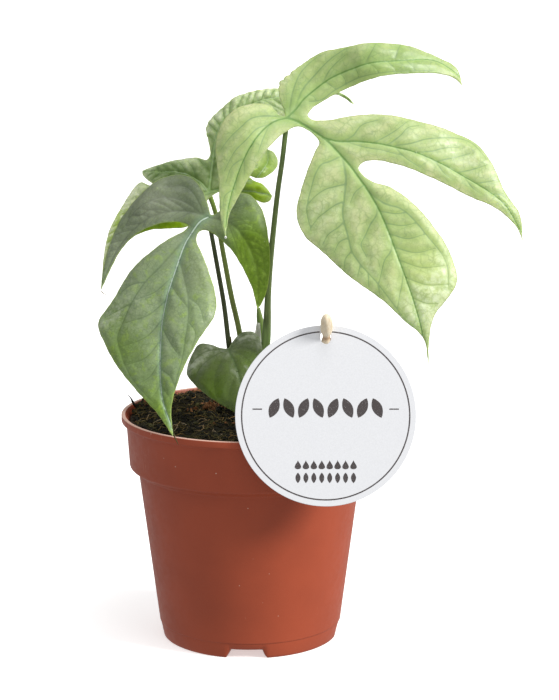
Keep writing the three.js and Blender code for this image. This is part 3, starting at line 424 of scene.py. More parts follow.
# The twig and the heap lie at the left of the lip. The front leaf's ends are dry threads at two blade tips
# and a bud scar on its petiole, each a line with its step, sides and tone.
TWIG = [(-53.8, 12, 106, 0.4), (-55.2, 10, 109, 0.6), (-55.9, 7, 111.6, 0.35), (-57.3, 2, 115, 0.1)]
RIM_HEAP = [(-52.4, 13, 106.4, 2.2), (-51.5, 19, 106.6, 1.8), (-49.4, 25, 106.4, 1.8), (-46, 30.5, 106, 1.5),
            (-54.3, 6, 105.8, 1.2)]  # x, y, z, spread
HEAP_CRUMBS = 26
HEAP_FIBRES = 22
HEAP_LIMIT = 57
FIBRE_LONG = [(-33.9, -14.2, 104.9, 0.35), (-30, -21, 106.2, 0.35), (-23.9, -33.6, 105.6, 0.25)]
FRONT_ENDS = [
    ([(-33.1, -51.6, 109, 0.35), (-32.6, -52.8, 107.6, 0.28), (-31.6, -54.4, 106, 0.2),
      (-30.9, -55.6, 104.9, 0.08)], 0.5, 6, 0.35),
    ([(-67.1, -17.9, 167.6, 0.3), (-66.6, -18, 166.9, 0.25), (-65.7, -17.9, 166.2, 0.2),
      (-64.8, -17.7, 166, 0.08)], 0.4, 6, 1),
    ([(-8.6, -3.4, 139.6, 0.7), (-9.3, -4.2, 141, 1.15), (-9.1, -4.8, 142.6, 0.9),
      (-8.7, -5.2, 143.8, 0.3)], 0.4, 12, 0.55),
]
DROP_PLACE = (-10.1, -30.9, 194.2)
DROP_SECTION = [(0, -0.7), (0.4, -0.55), (0.62, -0.15), (0.5, 0.3), (0.25, 0.65), (0, 0.85)]


def metres(points):
    return np.asarray(points, float) * MM + pot_axis


def unit(vector):
    return np.asarray(vector, float) / np.linalg.norm(vector)


def colour(red, green, blue):
    """A screen colour, 0 to 255, as the linear colour that shaders take."""
    parts = [value / 255 for value in (red, green, blue)]
    return tuple(p / 12.92 if p <= 0.04045 else ((p + 0.055) / 1.055) ** 2.4 for p in parts) + (1,)


def darker(shade, share):
    return tuple(share * part for part in shade[:3]) + (1,)


def smooth_line(points, step):
    """Even points along a centripetal spline through the given ones."""
    points = np.array(points, float)
    ends = [2 * points[0] - points[1], *points, 2 * points[-1] - points[-2]]
    t = np.linspace(0, 1, 24, endpoint=False)[:, None]
    dense = []
    for p0, p1, p2, p3 in zip(ends, ends[1:], ends[2:], ends[3:]):
        d0, d1, d2 = (max(np.linalg.norm(b - a), 1e-6) ** 0.5 for a, b in ((p0, p1), (p1, p2), (p2, p3)))
        start = d1 * ((p1 - p0) / d0 - (p2 - p0) / (d0 + d1) + (p2 - p1) / d1)
        end = d1 * ((p2 - p1) / d1 - (p3 - p1) / (d1 + d2) + (p3 - p2) / d2)
        dense.append(p1 + start * t + (3 * (p2 - p1) - 2 * start - end) * t**2
                     + (2 * (p1 - p2) + start + end) * t**3)
    dense = np.vstack([*dense, points[-1:]])
    run = np.concatenate([[0], np.cumsum(np.linalg.norm(np.diff(dense, axis=0), axis=1))])
    at = np.linspace(0, run[-1], max(1, round(run[-1] / step)) + 1)
    return np.stack([np.interp(at, run, dense[:, k]) for k in range(dense.shape[1])], axis=1)


def line_distance(points, line, widths=None):
    """Distance of points from a line of points, or its ratio to widths that change along the line."""
    best = np.full(len(points), 1e9)
    for i, (a, b) in enumerate(zip(line[:-1], line[1:])):
        along = b - a
        t = np.clip((points - a) @ along / max(along @ along, 1e-12), 0, 1)
        away = np.linalg.norm(points - a - t[:, None] * along, axis=1)
        if widths is not None:
            away = away / (widths[i] + t * (widths[i + 1] - widths[i]))
        best = np.minimum(best, away)
    return best


def thin_plate(points):
    """The smoothest surface through points (u, v, height), as a function of many points (u, v)."""
    points = np.array(points, float)

    def bending(a, b):
        square = ((a[:, None] - b[None]) ** 2).sum(axis=2)
        return square * np.log(np.maximum(square, 1e-12))

    n = len(points)
    flat = np.hstack([np.ones((n, 1)), points[:, :2]])
    matrix = np.block([[bending(points[:, :2], points[:, :2]), flat], [flat.T, np.zeros((3, 3))]])
    weights = np.linalg.solve(matrix, np.append(points[:, 2], [0, 0, 0]))
    return lambda uv: bending(uv, points[:, :2]) @ weights[:n] + weights[n] + uv @ weights[n + 1:]


def inside(polygon, points):
    """Which points lie in a polygon."""
    hit = np.zeros(len(points), bool)
    for (u1, v1), (u2, v2) in zip(polygon, np.roll(polygon, -1, axis=0)):
        if v1 == v2:
            continue
        crosses = (v1 > points[:, 1]) != (v2 > points[:, 1])
        hit ^= crosses & (points[:, 0] < u1 + (points[:, 1] - v1) / (v2 - v1) * (u2 - u1))
    return hit


def honeycomb(low, high, step):
    """Points of a honeycomb over a rectangle."""
    rows = np.arange(low[1], high[1], step * math.sqrt(3) / 2)
    columns = np.arange(low[0], high[0], step)
    u = np.add.outer((np.arange(len(rows)) % 2) * step / 2, columns)
    return np.stack([u.ravel(), np.repeat(rows, len(columns))], axis=1)


def nearest(points, others):
    """Distance of each point from the nearest of the others."""
    found = []
    for start in range(0, len(points), BLOCK):
        block = points[start:start + BLOCK]
        found.append(np.linalg.norm(block[:, None] - others[None], axis=2).min(axis=1))
    return np.concatenate(found)


def cell_edge_distance(points, seeds):
    """Distance of points from the walls of the cells round the seeds."""
    found = []
    for start in range(0, len(points), BLOCK):
        block = points[start:start + BLOCK]
        away = ((block[:, None] - seeds[None]) ** 2).sum(axis=2)
        rows = np.arange(len(block))[:, None]
        order = np.argpartition(away, 3, axis=1)[:, :3]
        order = order[rows, np.argsort(away[rows, order], axis=1)]
        own, *others = (seeds[order[:, k]] for k in range(3))
        walls = []
        for other in others:
            beyond = ((block - other) ** 2).sum(axis=1) - ((block - own) ** 2).sum(axis=1)
            walls.append(beyond / (2 * np.linalg.norm(other - own, axis=1)))
        found.append(np.minimum(*walls))
    return np.concatenate(found)


def scattered(rng, low, high, spacing):
    """A loose honeycomb of seeds."""
    seeds = honeycomb(low, high, spacing)
    return seeds + rng.normal(0, CELL_DISORDER * spacing / 2, seeds.shape)


def triangulated(points, edges=(), face=(), merge=0.01):
    """Flat points and triangles within closed edges or one face. Points nearer than merge are joined."""
    faces = [list(face)] if face else []
    made = delaunay_2d_cdt([Vector(point) for point in points], list(edges), faces, 1, merge)
    return np.array([list(point) for point in made[0]]), np.array([list(corners) for corners in made[2]])


def bell(away, width):
    """1 where away is 0, falling smoothly to 0 over about twice the width."""
    return np.exp(-((away / width) ** 2))


def spot(points, centre, radius):
    """1 at a centre, falling smoothly to 0 over about twice the radius."""
    return np.exp(-((points - centre) ** 2).sum(axis=1) / radius**2)


def ellipse(width, height, count, centre=(0, 0)):
    """Points round an ellipse, with half its width and half its height given."""
    angles = np.arange(count) * TURN / count
    return np.column_stack([centre[0] + width * np.cos(angles), centre[1] + height * np.sin(angles)])


def new_object(name, data):
    """An object in the scene for a mesh, light or camera."""
    made = bpy.data.objects.new(name, data)
    bpy.context.scene.collection.objects.link(made)
    return made


def new_mesh(name, points, faces, material):
    mesh = bpy.data.meshes.new(name)
    mesh.from_pydata(points.tolist(), [], [list(map(int, face)) for face in faces])
    mesh.materials.append(material)
    return mesh


def new_piece(name, points, faces, material, replaces=(), marks=None, uv=None, smooth=True):
    """An object from points in millimetres, with named point values for its material to read."""
    mesh = new_mesh(name, metres(points), faces, material)
    for label, values in (marks or {}).items():
        mark = mesh.attributes.new(label, "FLOAT", "POINT")
        mark.data.foreach_set("value", np.asarray(values, np.float32))
    if uv is not None:
        corners = np.empty(len(mesh.loops), np.int32)
        mesh.loops.foreach_get("vertex_index", corners)
        layer = mesh.uv_layers.new(name="UVMap")
        layer.data.foreach_set("uv", np.asarray(uv, np.float32)[corners].ravel())
    mesh.polygons.foreach_set("use_smooth", [smooth] * len(mesh.polygons))
    piece = new_object(name, mesh)
    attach(piece, "root")
    if replaces:
        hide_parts(*replaces)
    return piece


class Shader:
    """A material's nodes, made one call at a time round one Principled shader."""

    def __init__(self, name, **settings):
        self.material = bpy.data.materials.new(name)
        self.material.use_nodes = True
        self.tree = self.material.node_tree
        self.surface = self.tree.nodes["Principled BSDF"]
        for socket, value in settings.items():
            self.set(socket.replace("_", " "), value)

    def set(self, socket, value):
        target = self.surface.inputs[socket]
        if isinstance(value, bpy.types.NodeSocket):
            self.tree.links.new(value, target)
        else:
            target.default_value = value

    def node(self, kind, inputs=(), **settings):
        made = self.tree.nodes.new("ShaderNode" + kind)
        for key, value in settings.items():
            setattr(made, key, value)
        for key, value in dict(inputs).items():
            if isinstance(value, bpy.types.NodeSocket):
                self.tree.links.new(value, made.inputs[key])
            else:
                made.inputs[key].default_value = value
        return made

    def mark(self, name):
        return self.node("Attribute", attribute_name=name).outputs["Fac"]

    def place(self, scale=(1, 1, 1), kind="Object"):
        """Coordinates in millimetres along the object's axes, or along its UV map, times scale."""
        source = self.node("TexCoord").outputs[kind]
        unit_scale = 1 / MM if kind == "Object" else UV_SPAN
        return self.node("Mapping", {"Vector": source, "Scale": [s * unit_scale for s in scale]}).outputs[0]

    def noise(self, where, scale, detail=3, roughness=0.5, distortion=0):
        return self.node("TexNoise", {
            "Vector": where, "Scale": scale, "Detail": detail, "Roughness": roughness,
            "Distortion": distortion,
        }).outputs["Fac"]

    def cells(self, where, scale, feature="DISTANCE_TO_EDGE"):
        made = self.node("TexVoronoi", {"Vector": where, "Scale": scale}, feature=feature)
        return made.outputs["Distance"]

    def wandering(self, where, scale, amount):
        """Coordinates pushed about by up to amount, so that straight lines drawn with them bend."""
        drift = self.node("TexNoise", {"Vector": where, "Scale": scale, "Detail": 2}).outputs["Color"]
        pushed = self.node("VectorMath", {0: drift, 1: (amount,) * 3, 2: where}, operation="MULTIPLY_ADD")
        return pushed.outputs[0]

    def ramp(self, value, low, high, to_low=0.0, to_high=1.0):
        """A smooth step from to_low at low to to_high at high."""
        return self.node("MapRange", {
            "Value": value, "From Min": low, "From Max": high, "To Min": to_low, "To Max": to_high,
        }, interpolation_type="SMOOTHSTEP").outputs[0]

    def sum(self, a, b, kind="ADD"):
        return self.node("Math", {0: a, 1: b}, operation=kind).outputs[0]

    def times(self, a, b):
        return self.sum(a, b, "MULTIPLY")

    def mix(self, share, a, b, kind="MIX"):
        return self.node("Mix", {0: share, 6: a, 7: b}, data_type="RGBA", blend_type=kind).outputs[2]

    def tint(self, below, shade, value, low, high, to_low=0.0, to_high=1.0):
        """Lays a shade over the colour below it, by a share that is a smooth step of value."""
        return self.mix(self.ramp(value, low, high, to_low, to_high), below, shade)

    def bump(self, height, strength, distance=0.0002):
        below = self.surface.inputs["Normal"]
        inputs = {"Height": height, "Strength": strength, "Distance": distance}
        if below.is_linked:
            inputs["Normal"] = below.links[0].from_socket
        self.set("Normal", self.node("Bump", inputs).outputs[0])


def lamina_colours(shader, look, flat):
    """A blade's colours between its veins, beside them and on them, with its clouds, patches and spots."""
    # Darker beside the veins and paler towards the middle of each pillow between them: partly the blade's
    # own tone, partly painted shade in the grooves.
    lamina = shader.tint(look["beside_vein_tone_and_shade"], look["lamina"], shader.mark("reach"), 0.2, look["pillow"])
    clouds = shader.ramp(shader.noise(flat, 0.08, 5, 0.65), 0.4, 0.65)
    lamina = shader.mix(shader.times(clouds, look["mottle"]), lamina, look["patch"])
    vein_side_tone_and_shade, line_colour = look["beside_vein_tone_and_shade"], look["vein"]
    # Yellow-green patches: partly the blade's own tone, partly painted glow of light shining through it.
    # Darker patches: partly its own tone, partly painted shade. Both also tint the colours beside and on the
    # veins.
    for patch in ("dark_tone_and_painted_shade", "yellow_and_painted_glow"):
        share = shader.mark(patch)
        lamina = shader.mix(share, lamina, look[patch])
        vein_side_tone_and_shade = shader.mix(share, vein_side_tone_and_shade, darker(look[patch], 0.85))
        line_colour = shader.mix(share, line_colour, darker(look[patch], 0.65))
    # Spots of the blotch tint, kept out of the darker patches of tone and painted shade; on the back leaf
    # the pale spots also paint glossy highlights.
    spots = shader.noise(flat, look["blotch_scale"], 3, 0.55, 0.6)
    blotch = shader.ramp(spots, 0.5, 0.66, 0, look["blotch"])
    outside_dark_tone_and_shade = shader.ramp(shader.mark("dark_tone_and_painted_shade"), 0, 0.8, 1, 0.15)
    lamina = shader.mix(shader.times(blotch, outside_dark_tone_and_shade), lamina, look["blotch_tint"])
    # Pale patches, broken up by noise, are painted sheen and highlights on the blade.
    sheen = shader.ramp(shader.noise(flat, 0.3, 3, 0.6), 0.36, 0.6, 0.3, 1)
    lamina = shader.mix(shader.times(shader.mark("painted_sheen"), sheen), lamina, look["painted_sheen"])
    return lamina, vein_side_tone_and_shade, line_colour


def leaf_material(name, look):
    """Green blade: paler between the veins, a net of finer veins, a thin margin and a paler underside."""
    shader = Shader(name, IOR=1.45, Specular_IOR_Level=0.38, Subsurface_Weight=look["glow"],
                    Subsurface_Scale=0.0012, Subsurface_Radius=(0.9, 1.0, 0.35))
    flat = shader.place(kind="UV")
    under, vein, rib, edge = map(shader.mark, ("under", "vein", "rib", "edge"))
    lamina, vein_side_tone_and_shade, line_colour = lamina_colours(shader, look, flat)
    fine = shader.ramp(shader.cells(shader.wandering(flat, 0.5, 1), 0.6), 0, 0.14, look["fine_net"], 0)
    fade = shader.ramp(shader.noise(flat, 0.2, 2), 0.35, 0.6)
    green = shader.mix(shader.times(fine, fade), lamina, line_colour)
    # The coarse net darkens towards its cell walls: partly the blade's own tone, partly painted shade
    # between the pillows.
    coarse = shader.cells(shader.wandering(flat, 0.3, 3.5), look["net_scale"])
    faded = shader.ramp(shader.noise(flat, 0.12, 3), 0.35, 0.65, 0.35, 1)
    for width, strength, shade in ((0.25, 1, vein_side_tone_and_shade), (0.07, 1.25, line_colour)):
        net = shader.ramp(coarse, 0, width, strength * look["net"], 0)
        green = shader.mix(shader.times(net, faded), green, shade)
    grain = shader.noise(flat, 0.9, 4, 0.75)
    grains = shader.ramp(grain, 0.32, 0.68, 0, look["grain"])
    green = shader.mix(grains, green, colour(190, 200, 180), "MULTIPLY")
    # Laid over in turn: a darker halo beside the veins, partly own tone and partly painted shade in the
    # grooves; the vein lines; a halo beside the ribs; a thin line of painted shadow along both sides of each
    # rib; the ribs themselves; the margin line.
    for value, low, high, share, shade in (
        (vein, 0.5, 5, look["halo"], vein_side_tone_and_shade),
        (vein, 0.25, 1.5, look["vein_line"], line_colour),
        (rib, 0.8, 7, look["rib_halo"], look["beside_rib"]),
        (rib, 0.9, 2, look["rib_painted_shadow_share"], look["rib_painted_shadow"]),
        (rib, 0.4, 1.1, 0.9, look["rib"]),
        (edge, 0.12, 0.5, look["margin_line"], look["margin"]),
    ):
        green = shader.tint(green, shade, value, low, high, share, 0)
    green = shader.mix(shader.times(under, 0.5), green, look["underside"])
    green = shader.tint(green, look["speck"], shader.cells(flat, 0.11, "F1"), 0.02, 0.05, 0.6, 0)
    shader.set("Base Color", green)
    sheer, dull = look["roughness"] - 0.05, look["roughness"] + 0.08
    roughness = shader.ramp(shader.noise(flat, 0.25, 4), 0.3, 0.7, sheer, dull)
    shader.set("Roughness", shader.sum(roughness, shader.times(under, 0.2)))
    shader.bump(shader.cells(flat, 2.2, "SMOOTH_F1"), 0.2, 0.0001)
    shader.bump(fine, -0.3, 0.00012)
    shader.bump(grain, 0.3, 0.00015)
    return shader.material


def ripple(margin, ripples, rng):
    """Moves a margin along its own normals: slight waves all round and stronger ones at ripples."""
    ahead = np.roll(margin, -1, axis=0) - np.roll(margin, 1, axis=0)
    outward = np.stack([ahead[:, 1], -ahead[:, 0]], axis=1)
    outward /= np.linalg.norm(outward, axis=1)[:, None]
    run = np.cumsum(np.linalg.norm(np.roll(margin, -1, axis=0) - margin, axis=1))
    wave = 0.05 * np.sin(run * TURN / 8.3 + rng.uniform(0, 6)) + 0.04 * np.sin(run * TURN / 4.7)
    for u, v, spread, height, length in ripples:
        wave += spot(margin, (u, v), spread) * height * (np.abs(np.sin(run * math.pi / length)) - 0.6)
    return margin + outward * wave[:, None]


def side_veins(ribs, margin, rng, which, first, last, spacing, angle, length, width):
    """Side veins of one rib, staggered left and right, that bend to its tip and stop at the margin."""
    line = ribs[which][1]
    others = np.vstack([other for k, (_, other) in enumerate(ribs) if k != which])
    pace, curl, margin_gap, rib_gap = 1.1, 0.05, 0.8, 1.6
    made = []
    for side in (-1, 1):
        for place in np.arange(first + (side > 0) * spacing / 2, last, spacing):
            at = min(int((place + rng.uniform(-0.4, 0.4)) / LINE_STEP), len(line) - 3)
            ahead = line[at + 2] - line[at]
            way = math.atan2(ahead[1], ahead[0]) + side * math.radians(angle + rng.uniform(-5, 5))
            points = [line[at]]
            for _ in range(int(length / pace)):
                way -= side * math.radians(angle) * curl
                points.append(points[-1] + pace * np.array([math.cos(way), math.sin(way)]))
            points = np.array(points)
            free = inside(margin, points) & (nearest(points, margin) > margin_gap)
            free[3:] &= nearest(points[3:], others) > rib_gap
            stop = len(points) if free[1:].all() else 1 + int(np.argmin(free[1:]))
            if stop > 3:
                made.append((width, smooth_line(points[:stop], LINE_STEP)))
    return made


def blade_lines(plan, rng):
    """A blade's margin, ribs and veins as fine lines."""
    margin = np.vstack([smooth_line(run, MARGIN_STEP)[:-1] for run in plan["outline"]])
    margin = ripple(margin, plan["ripples"], rng)
    ribs = [(width, smooth_line(line, LINE_STEP)) for width, line in plan["ribs"]]
    veins = [(width, smooth_line(line, LINE_STEP)) for width, line in plan["veins"]]
    for choice in plan["pinnate"]:
        veins += side_veins(ribs, margin, rng, *choice)
    return margin, ribs, veins


def blade_net(margin, lines):
    """Points and triangles over a blade, with points along its margin, ribs and veins."""
    grid = honeycomb(margin.min(axis=0), margin.max(axis=0), BLADE_GRID)
    grid = grid[nearest(grid, lines) > 0.55 * BLADE_GRID]
    inner = np.vstack([lines, grid])
    inner = inner[inside(margin, inner)]
    inner = inner[nearest(inner, margin) > 0.5 * BLADE_GRID]
    return triangulated(np.vstack([margin, inner]), face=range(len(margin)), merge=0.02)


def line_distances(uv, margin, ribs, veins, bold):
    """Distances from a blade's margin and lines. For rib and vein they are ratios to a line's half width."""
    def closest(lines):
        return np.min([line_distance(uv, line) for _, line in lines], axis=0)

    def closest_ratio(lines):
        return np.min([line_distance(uv, line, np.linspace(width, LINE_TAPER * width, len(line)))
                       for width, line in lines], axis=0)

    return {
        "rib": closest_ratio(ribs[:bold]), "vein": closest_ratio(ribs[bold:] + veins),
        "any_rib": closest(ribs), "reach": closest(ribs + veins),
        "edge": line_distance(uv, np.vstack([margin, margin[:1]])),
    }


def blade_rise(uv, plan, relief, away, start, seeds, noise_seed):
    """Height above a blade's plane: droop, folds, puckers, cells, sunken veins, rolled edge and waves."""
    calm = start * np.clip(away["edge"] / relief["calm"], 0.25, 1)
    rise = thin_plate(plan["rises"])(uv)
    rise += start * relief["fold"] * (1 - np.exp(-away["any_rib"] / FOLD_REACH))
    rise += calm * relief["pucker"] * (1 - bell(away["reach"], relief["pillow"]))
    rise += calm * relief["net"] * (1 - bell(cell_edge_distance(uv, seeds), CELL_WALL))
    groove = relief["groove"]
    rise -= groove * bell(away["rib"], 1.1) + VEIN_SHARE * groove * bell(away["vein"], 1.2)
    rise -= start * relief["roll"] * bell(away["edge"], relief["roll_width"])
    waves = np.array([noise.noise(Vector((u, v, noise_seed))) for u, v in uv * WAVE_SCALE])
    return rise + start * relief["wave"] * waves


def patch_field(points, patches):
    """Soft round patches (u, v, radius, strength), summed and kept under 1."""
    field = np.zeros(len(points))
    for u, v, radius, strength in patches:
        field += strength * spot(points, (u, v), radius)
    return np.clip(field, 0, 1)


def blade_piece(name, plan, relief, material, seed):
    """A blade with sunken ribs and veins, puckered between them, and its veins standing out below."""
    rng = np.random.default_rng(seed)
    margin, ribs, veins = blade_lines(plan, rng)
    uv, triangles = blade_net(margin, np.vstack([line for _, line in ribs + veins]))
    away = line_distances(uv, margin, ribs, veins, plan["bold"])
    start = 1 - np.exp(-((uv**2).sum(axis=1)) / FLAT_START)
    seeds = scattered(rng, margin.min(axis=0) - 8, margin.max(axis=0) + 8, relief["cell"])
    rise = blade_rise(uv, plan, relief, away, start, seeds, seed)

    facing = unit(plan["facing"])
    tip = np.array(plan["towards_tip"], float)
    along = unit(tip - facing * (tip @ facing))
    across = np.cross(facing, along)
    middle = np.array(plan["base"]) + uv[:, :1] * across + uv[:, 1:] * along + rise[:, None] * facing
    normals = point_normals(middle, triangles)
    if (normals @ facing).sum() < 0:
        triangles = triangles[:, ::-1]
        normals = -normals
    inward = np.clip(away["edge"] / MARGIN_WIDTH, 0, 1)
    full = MARGIN_THICKNESS + (BLADE_THICKNESS - MARGIN_THICKNESS) * inward
    ridge = relief["ridge"] * (bell(away["rib"], 1.3) + VEIN_SHARE * bell(away["vein"], 1.3))
    ridge *= np.clip(away["edge"] / 2, 0, 1) * start
    count = len(uv)
    above, below = full / 2, full / 2 + ridge
    points = np.vstack([middle + normals * above[:, None], middle - normals * below[:, None]])
    faces = [*triangles, *(triangles[:, ::-1] + count)]
    faces += [(b, a, a + count, b + count) for a, b in boundary(triangles)]
    marks = {label: away[label] for label in ("rib", "vein", "reach", "edge")}
    # Patch marks: yellow-green painted glow and darker painted shade, each partly the blade's own tone, and
    # pale painted sheen.
    marks.update({patch: patch_field(uv, plan[patch]) for patch in ("yellow_and_painted_glow", "dark_tone_and_painted_shade", "painted_sheen")})
    marks = {label: np.tile(values, 2) for label, values in marks.items()}
    marks["under"] = np.repeat([0.0, 1.0], count)
    new_piece(name + "_lamina", points, faces, material, replaces=[name + "_blade"],
              marks=marks, uv=np.tile(uv / UV_SPAN + 1, (2, 1)))


def point_normals(points, triangles):
    a, b, c = (points[triangles[:, k]] for k in range(3))
    face = np.cross(b - a, c - a)
    total = np.zeros_like(points)
    for k in range(3):
        np.add.at(total, triangles[:, k], face)
    return total / np.maximum(np.linalg.norm(total, axis=1), 1e-12)[:, None]


def boundary(triangles):
    """Edges that have a triangle on one side only, in the triangles' own direction."""
    edges = np.vstack([triangles[:, [0, 1]], triangles[:, [1, 2]], triangles[:, [2, 0]]])
    keys = {(int(a), int(b)) for a, b in edges}
    return [(a, b) for a, b in keys if (b, a) not in keys]


def tube(path, sides, section=None):
    """Points and faces of a closed tube along points (x, y, z, radius). A section gives factors of the
    radius round the tube, from angles and the share of the length."""
    path = np.asarray(path, float)
    centres, radii = path[:, :3], path[:, 3]
    tangents = np.gradient(centres, axis=0)
    tangents /= np.linalg.norm(tangents, axis=1)[:, None]
    side = unit(np.cross((0.0, 1.0, 0.0) if abs(tangents[0][1]) < 0.9 else (1.0, 0.0, 0.0), tangents[0]))
    angles = np.arange(sides) * TURN / sides
    rings = []
    for centre, radius, tangent, t in zip(centres, radii, tangents, np.linspace(0, 1, len(path))):
        side = unit(side - tangent * (side @ tangent))
        back = np.cross(tangent, side)
        reach = radius * (section(angles, t) if section else np.ones(sides))
        across, up = np.outer(reach * np.cos(angles), side), np.outer(reach * np.sin(angles), back)
        rings.append(centre + across + up)
    return loft(rings)


def loft(rings):
    """A closed solid through rings of equal point counts, with a fan at each end."""
    count = len(rings[0])
    points = np.vstack([*rings, rings[0].mean(axis=0), rings[-1].mean(axis=0)])
    faces = []
    for r in range(len(rings) - 1):
        for i in range(count):
            a, b = r * count + i, r * count + (i + 1) % count
            faces.append((a, b, b + count, a + count))
    first, last, top = len(points) - 2, len(points) - 1, (len(rings) - 1) * count
    for i in range(count):
        faces.append(((i + 1) % count, i, first))
        faces.append((top + i, top + (i + 1) % count, last))
    return points, faces


def petiole_section(groove, wings, wing_height):
    """Section of a petiole: round, with a shallow groove above, and winged by a sheath up to wing_height."""
    def section(angles, t):
        away = np.abs((angles + math.pi / 2 + math.pi) % TURN - math.pi)
        fade = 1 / (1 + math.exp((t - wing_height) * 30))
        return 1 - groove * bell(away, 0.5) + wings * fade * bell(away - 0.75, 0.35)
    return section


def stalk_piece(name, path, material, leaf=None, sides=20, section=None, knee=0.0):
    """A petiole or stem. With a leaf, it runs on to the back of that blade's base and swells there."""
    path = list(path)
    if leaf:
        end = np.array(leaf["base"]) - unit(leaf["facing"]) * (path[-1][3] + BLADE_THICKNESS / 2 - 0.1)
        path.append((*end, path[-1][3]))
    line = smooth_line(path, STALK_STEP)
    if leaf:
        line[-1, 3] *= 0.5
    t = np.linspace(0, 1, len(line))
    line[:, 3] *= 1 + knee * bell((1 - t) * len(line) * STALK_STEP, KNEE_LENGTH)
    points, faces = tube(line, sides, section)
    share = np.concatenate([np.repeat(t, sides), [0, 1]])
    turn = np.concatenate([np.tile(np.arange(sides) / sides, len(line)), [0, 0]])
    new_piece(name + "_stalk", points, faces, material, replaces=[name],
              marks={"share": share, "turn": turn})


def stalk_material(name, shades, stain_and_shade_share):
    """Fleshy stalk: its green changes from foot to top, with fine streaks, stains, and painted shade
    down one side.
    """
    shader = Shader("stalk_" + name, IOR=1.45, Specular_IOR_Level=0.4, Subsurface_Weight=0.12,
                    Subsurface_Scale=0.001, Subsurface_Radius=(0.8, 1.0, 0.3))
    middle, foot, top, dark, light = (colour(*shade) for shade in shades)
    share = shader.mark("share")
    green = shader.tint(foot, middle, share, 0.12, 0.34)
    green = shader.tint(green, top, share, 0.8, 1)
    streaks = shader.noise(shader.place((1, 1, 0.08)), 1.6, 3, 0.6)
    green = shader.tint(green, light, streaks, 0.4, 0.7, 0, 0.5)
    stains = shader.noise(shader.place((1, 1, 0.12)), 0.35, 3, 0.6)
    green = shader.tint(green, dark, stains, 0.55, 0.68, 0, stain_and_shade_share)
    # Painted shade: the stains' colour darkens one side of the stalk, half a turn round from the section's
    # start.
    away = shader.sum(shader.sum(shader.mark("turn"), 0.5, "SUBTRACT"), 0, "ABSOLUTE")
    green = shader.tint(green, dark, away, 0.02, 0.16, stain_and_shade_share, 0)
    dots = shader.cells(shader.place((1, 1, 0.5)), 0.8, "F1")
    shader.set("Base Color", shader.tint(green, light, dots, 0.08, 0.16, 0.3, 0))
    shader.set("Roughness", shader.ramp(streaks, 0.2, 0.8, 0.35, 0.52))
    shader.bump(streaks, 0.25)
    return shader.material


def turned(profile, segments, shift=None):
    """Points and faces turned round Z from (radius, z). shift moves the z of the points at each angle."""
    points, faces, starts = [], [], []
    for k, (radius, z) in enumerate(profile):
        starts.append(len(points))
        if radius < 1e-6:
            points.append((0, 0, z))
            continue
        for i in range(segments):
            angle = TURN * i / segments
            height = z if shift is None else shift(k, angle, z)
            points.append((radius * math.cos(angle), radius * math.sin(angle), height))
    for k in range(len(profile) - 1):
        a, b = starts[k], starts[k + 1]
        for i in range(segments):
            j = (i + 1) % segments
            if profile[k][0] < 1e-6:
                faces.append((a, b + j, b + i))
            elif profile[k + 1][0] < 1e-6:
                faces.append((a + i, a + j, b))
            else:
                faces.append((a + i, a + j, b + j, b + i))
    return np.array(points), faces


def bend(start, corner, end, steps=6):
    t = np.linspace(0, 1, steps + 1)[:, None]
    start, corner, end = (np.array(p, float) for p in (start, corner, end))
    return [tuple(p) for p in start * (1 - t) ** 2 + 2 * corner * t * (1 - t) + end * t**2]


def pot_profile():
    """Half section of the pot: foot ring, step, shoulder, band and lip outside, and the wall inside."""
    inner_foot = POT["foot_radius"] - POT["foot_width"]
    wall, floor, top = POT["wall"], POT["floor"], POT["height"]
    foot = [(0, floor), (inner_foot - 0.8, floor), (inner_foot, floor - 0.8), (inner_foot, 0.3),
            (inner_foot + 0.3, 0), (POT["foot_radius"] - 0.5, 0), (POT["foot_radius"] - 0.1, 0.2),
            (POT["foot_radius"] + 0.2, 1.2)]
    outer_step, line = POT["step_radius"], POT["step"]
    step = [(outer_step - POT["step_depth"], line - 0.3), (outer_step - POT["step_depth"], line),
            (outer_step, line + 0.06), (outer_step + 0.04, line + 0.5)]
    corner, rise = POT["shoulder_radius"], POT["shoulder"]
    band, foot_z = POT["band_foot_radius"], POT["band_foot"]
    shoulder = [(corner - 0.14, rise - 1), (corner, rise), *bend(
        (corner + 0.05, rise + 0.5), (corner + 0.3, rise + 1.1), (band - 1.2, foot_z - 1.3), 4)]
    band_foot = bend((band - 0.7, foot_z - 1), (band - 0.05, foot_z - 0.6), (band, foot_z + 0.3))
    lip, lip_foot, edge = POT["lip_radius"], top - POT["lip_height"], POT["lip_edge"]
    band_top = POT["band_top"]
    under = bend((band_top, lip_foot - 1.2), (band_top + 0.2, lip_foot - 0.1), (lip - 0.6, lip_foot + 0.1))
    face = bend((lip - 0.25, lip_foot + 0.25), (lip - 0.02, lip_foot + 0.4), (lip, lip_foot + 0.8), 3)
    outer = bend((lip, top - edge), (lip, top), (lip - edge, top), 4)
    inner = lip - POT["lip_width"]
    rolled = bend((inner + edge, top), (inner, top), (inner, top - edge), 4)
    return [
        *foot, *step, *shoulder, *band_foot, *under, *face, *outer, *rolled,
        (band_top - wall, lip_foot), (band - wall, foot_z + 1), (corner - wall, rise - 1),
        (POT["step_radius"] - wall, POT["inside_step"]),
        (POT["foot_radius"] - wall, floor + POT["floor_thickness"]), (0, floor + POT["floor_thickness"]),
    ]


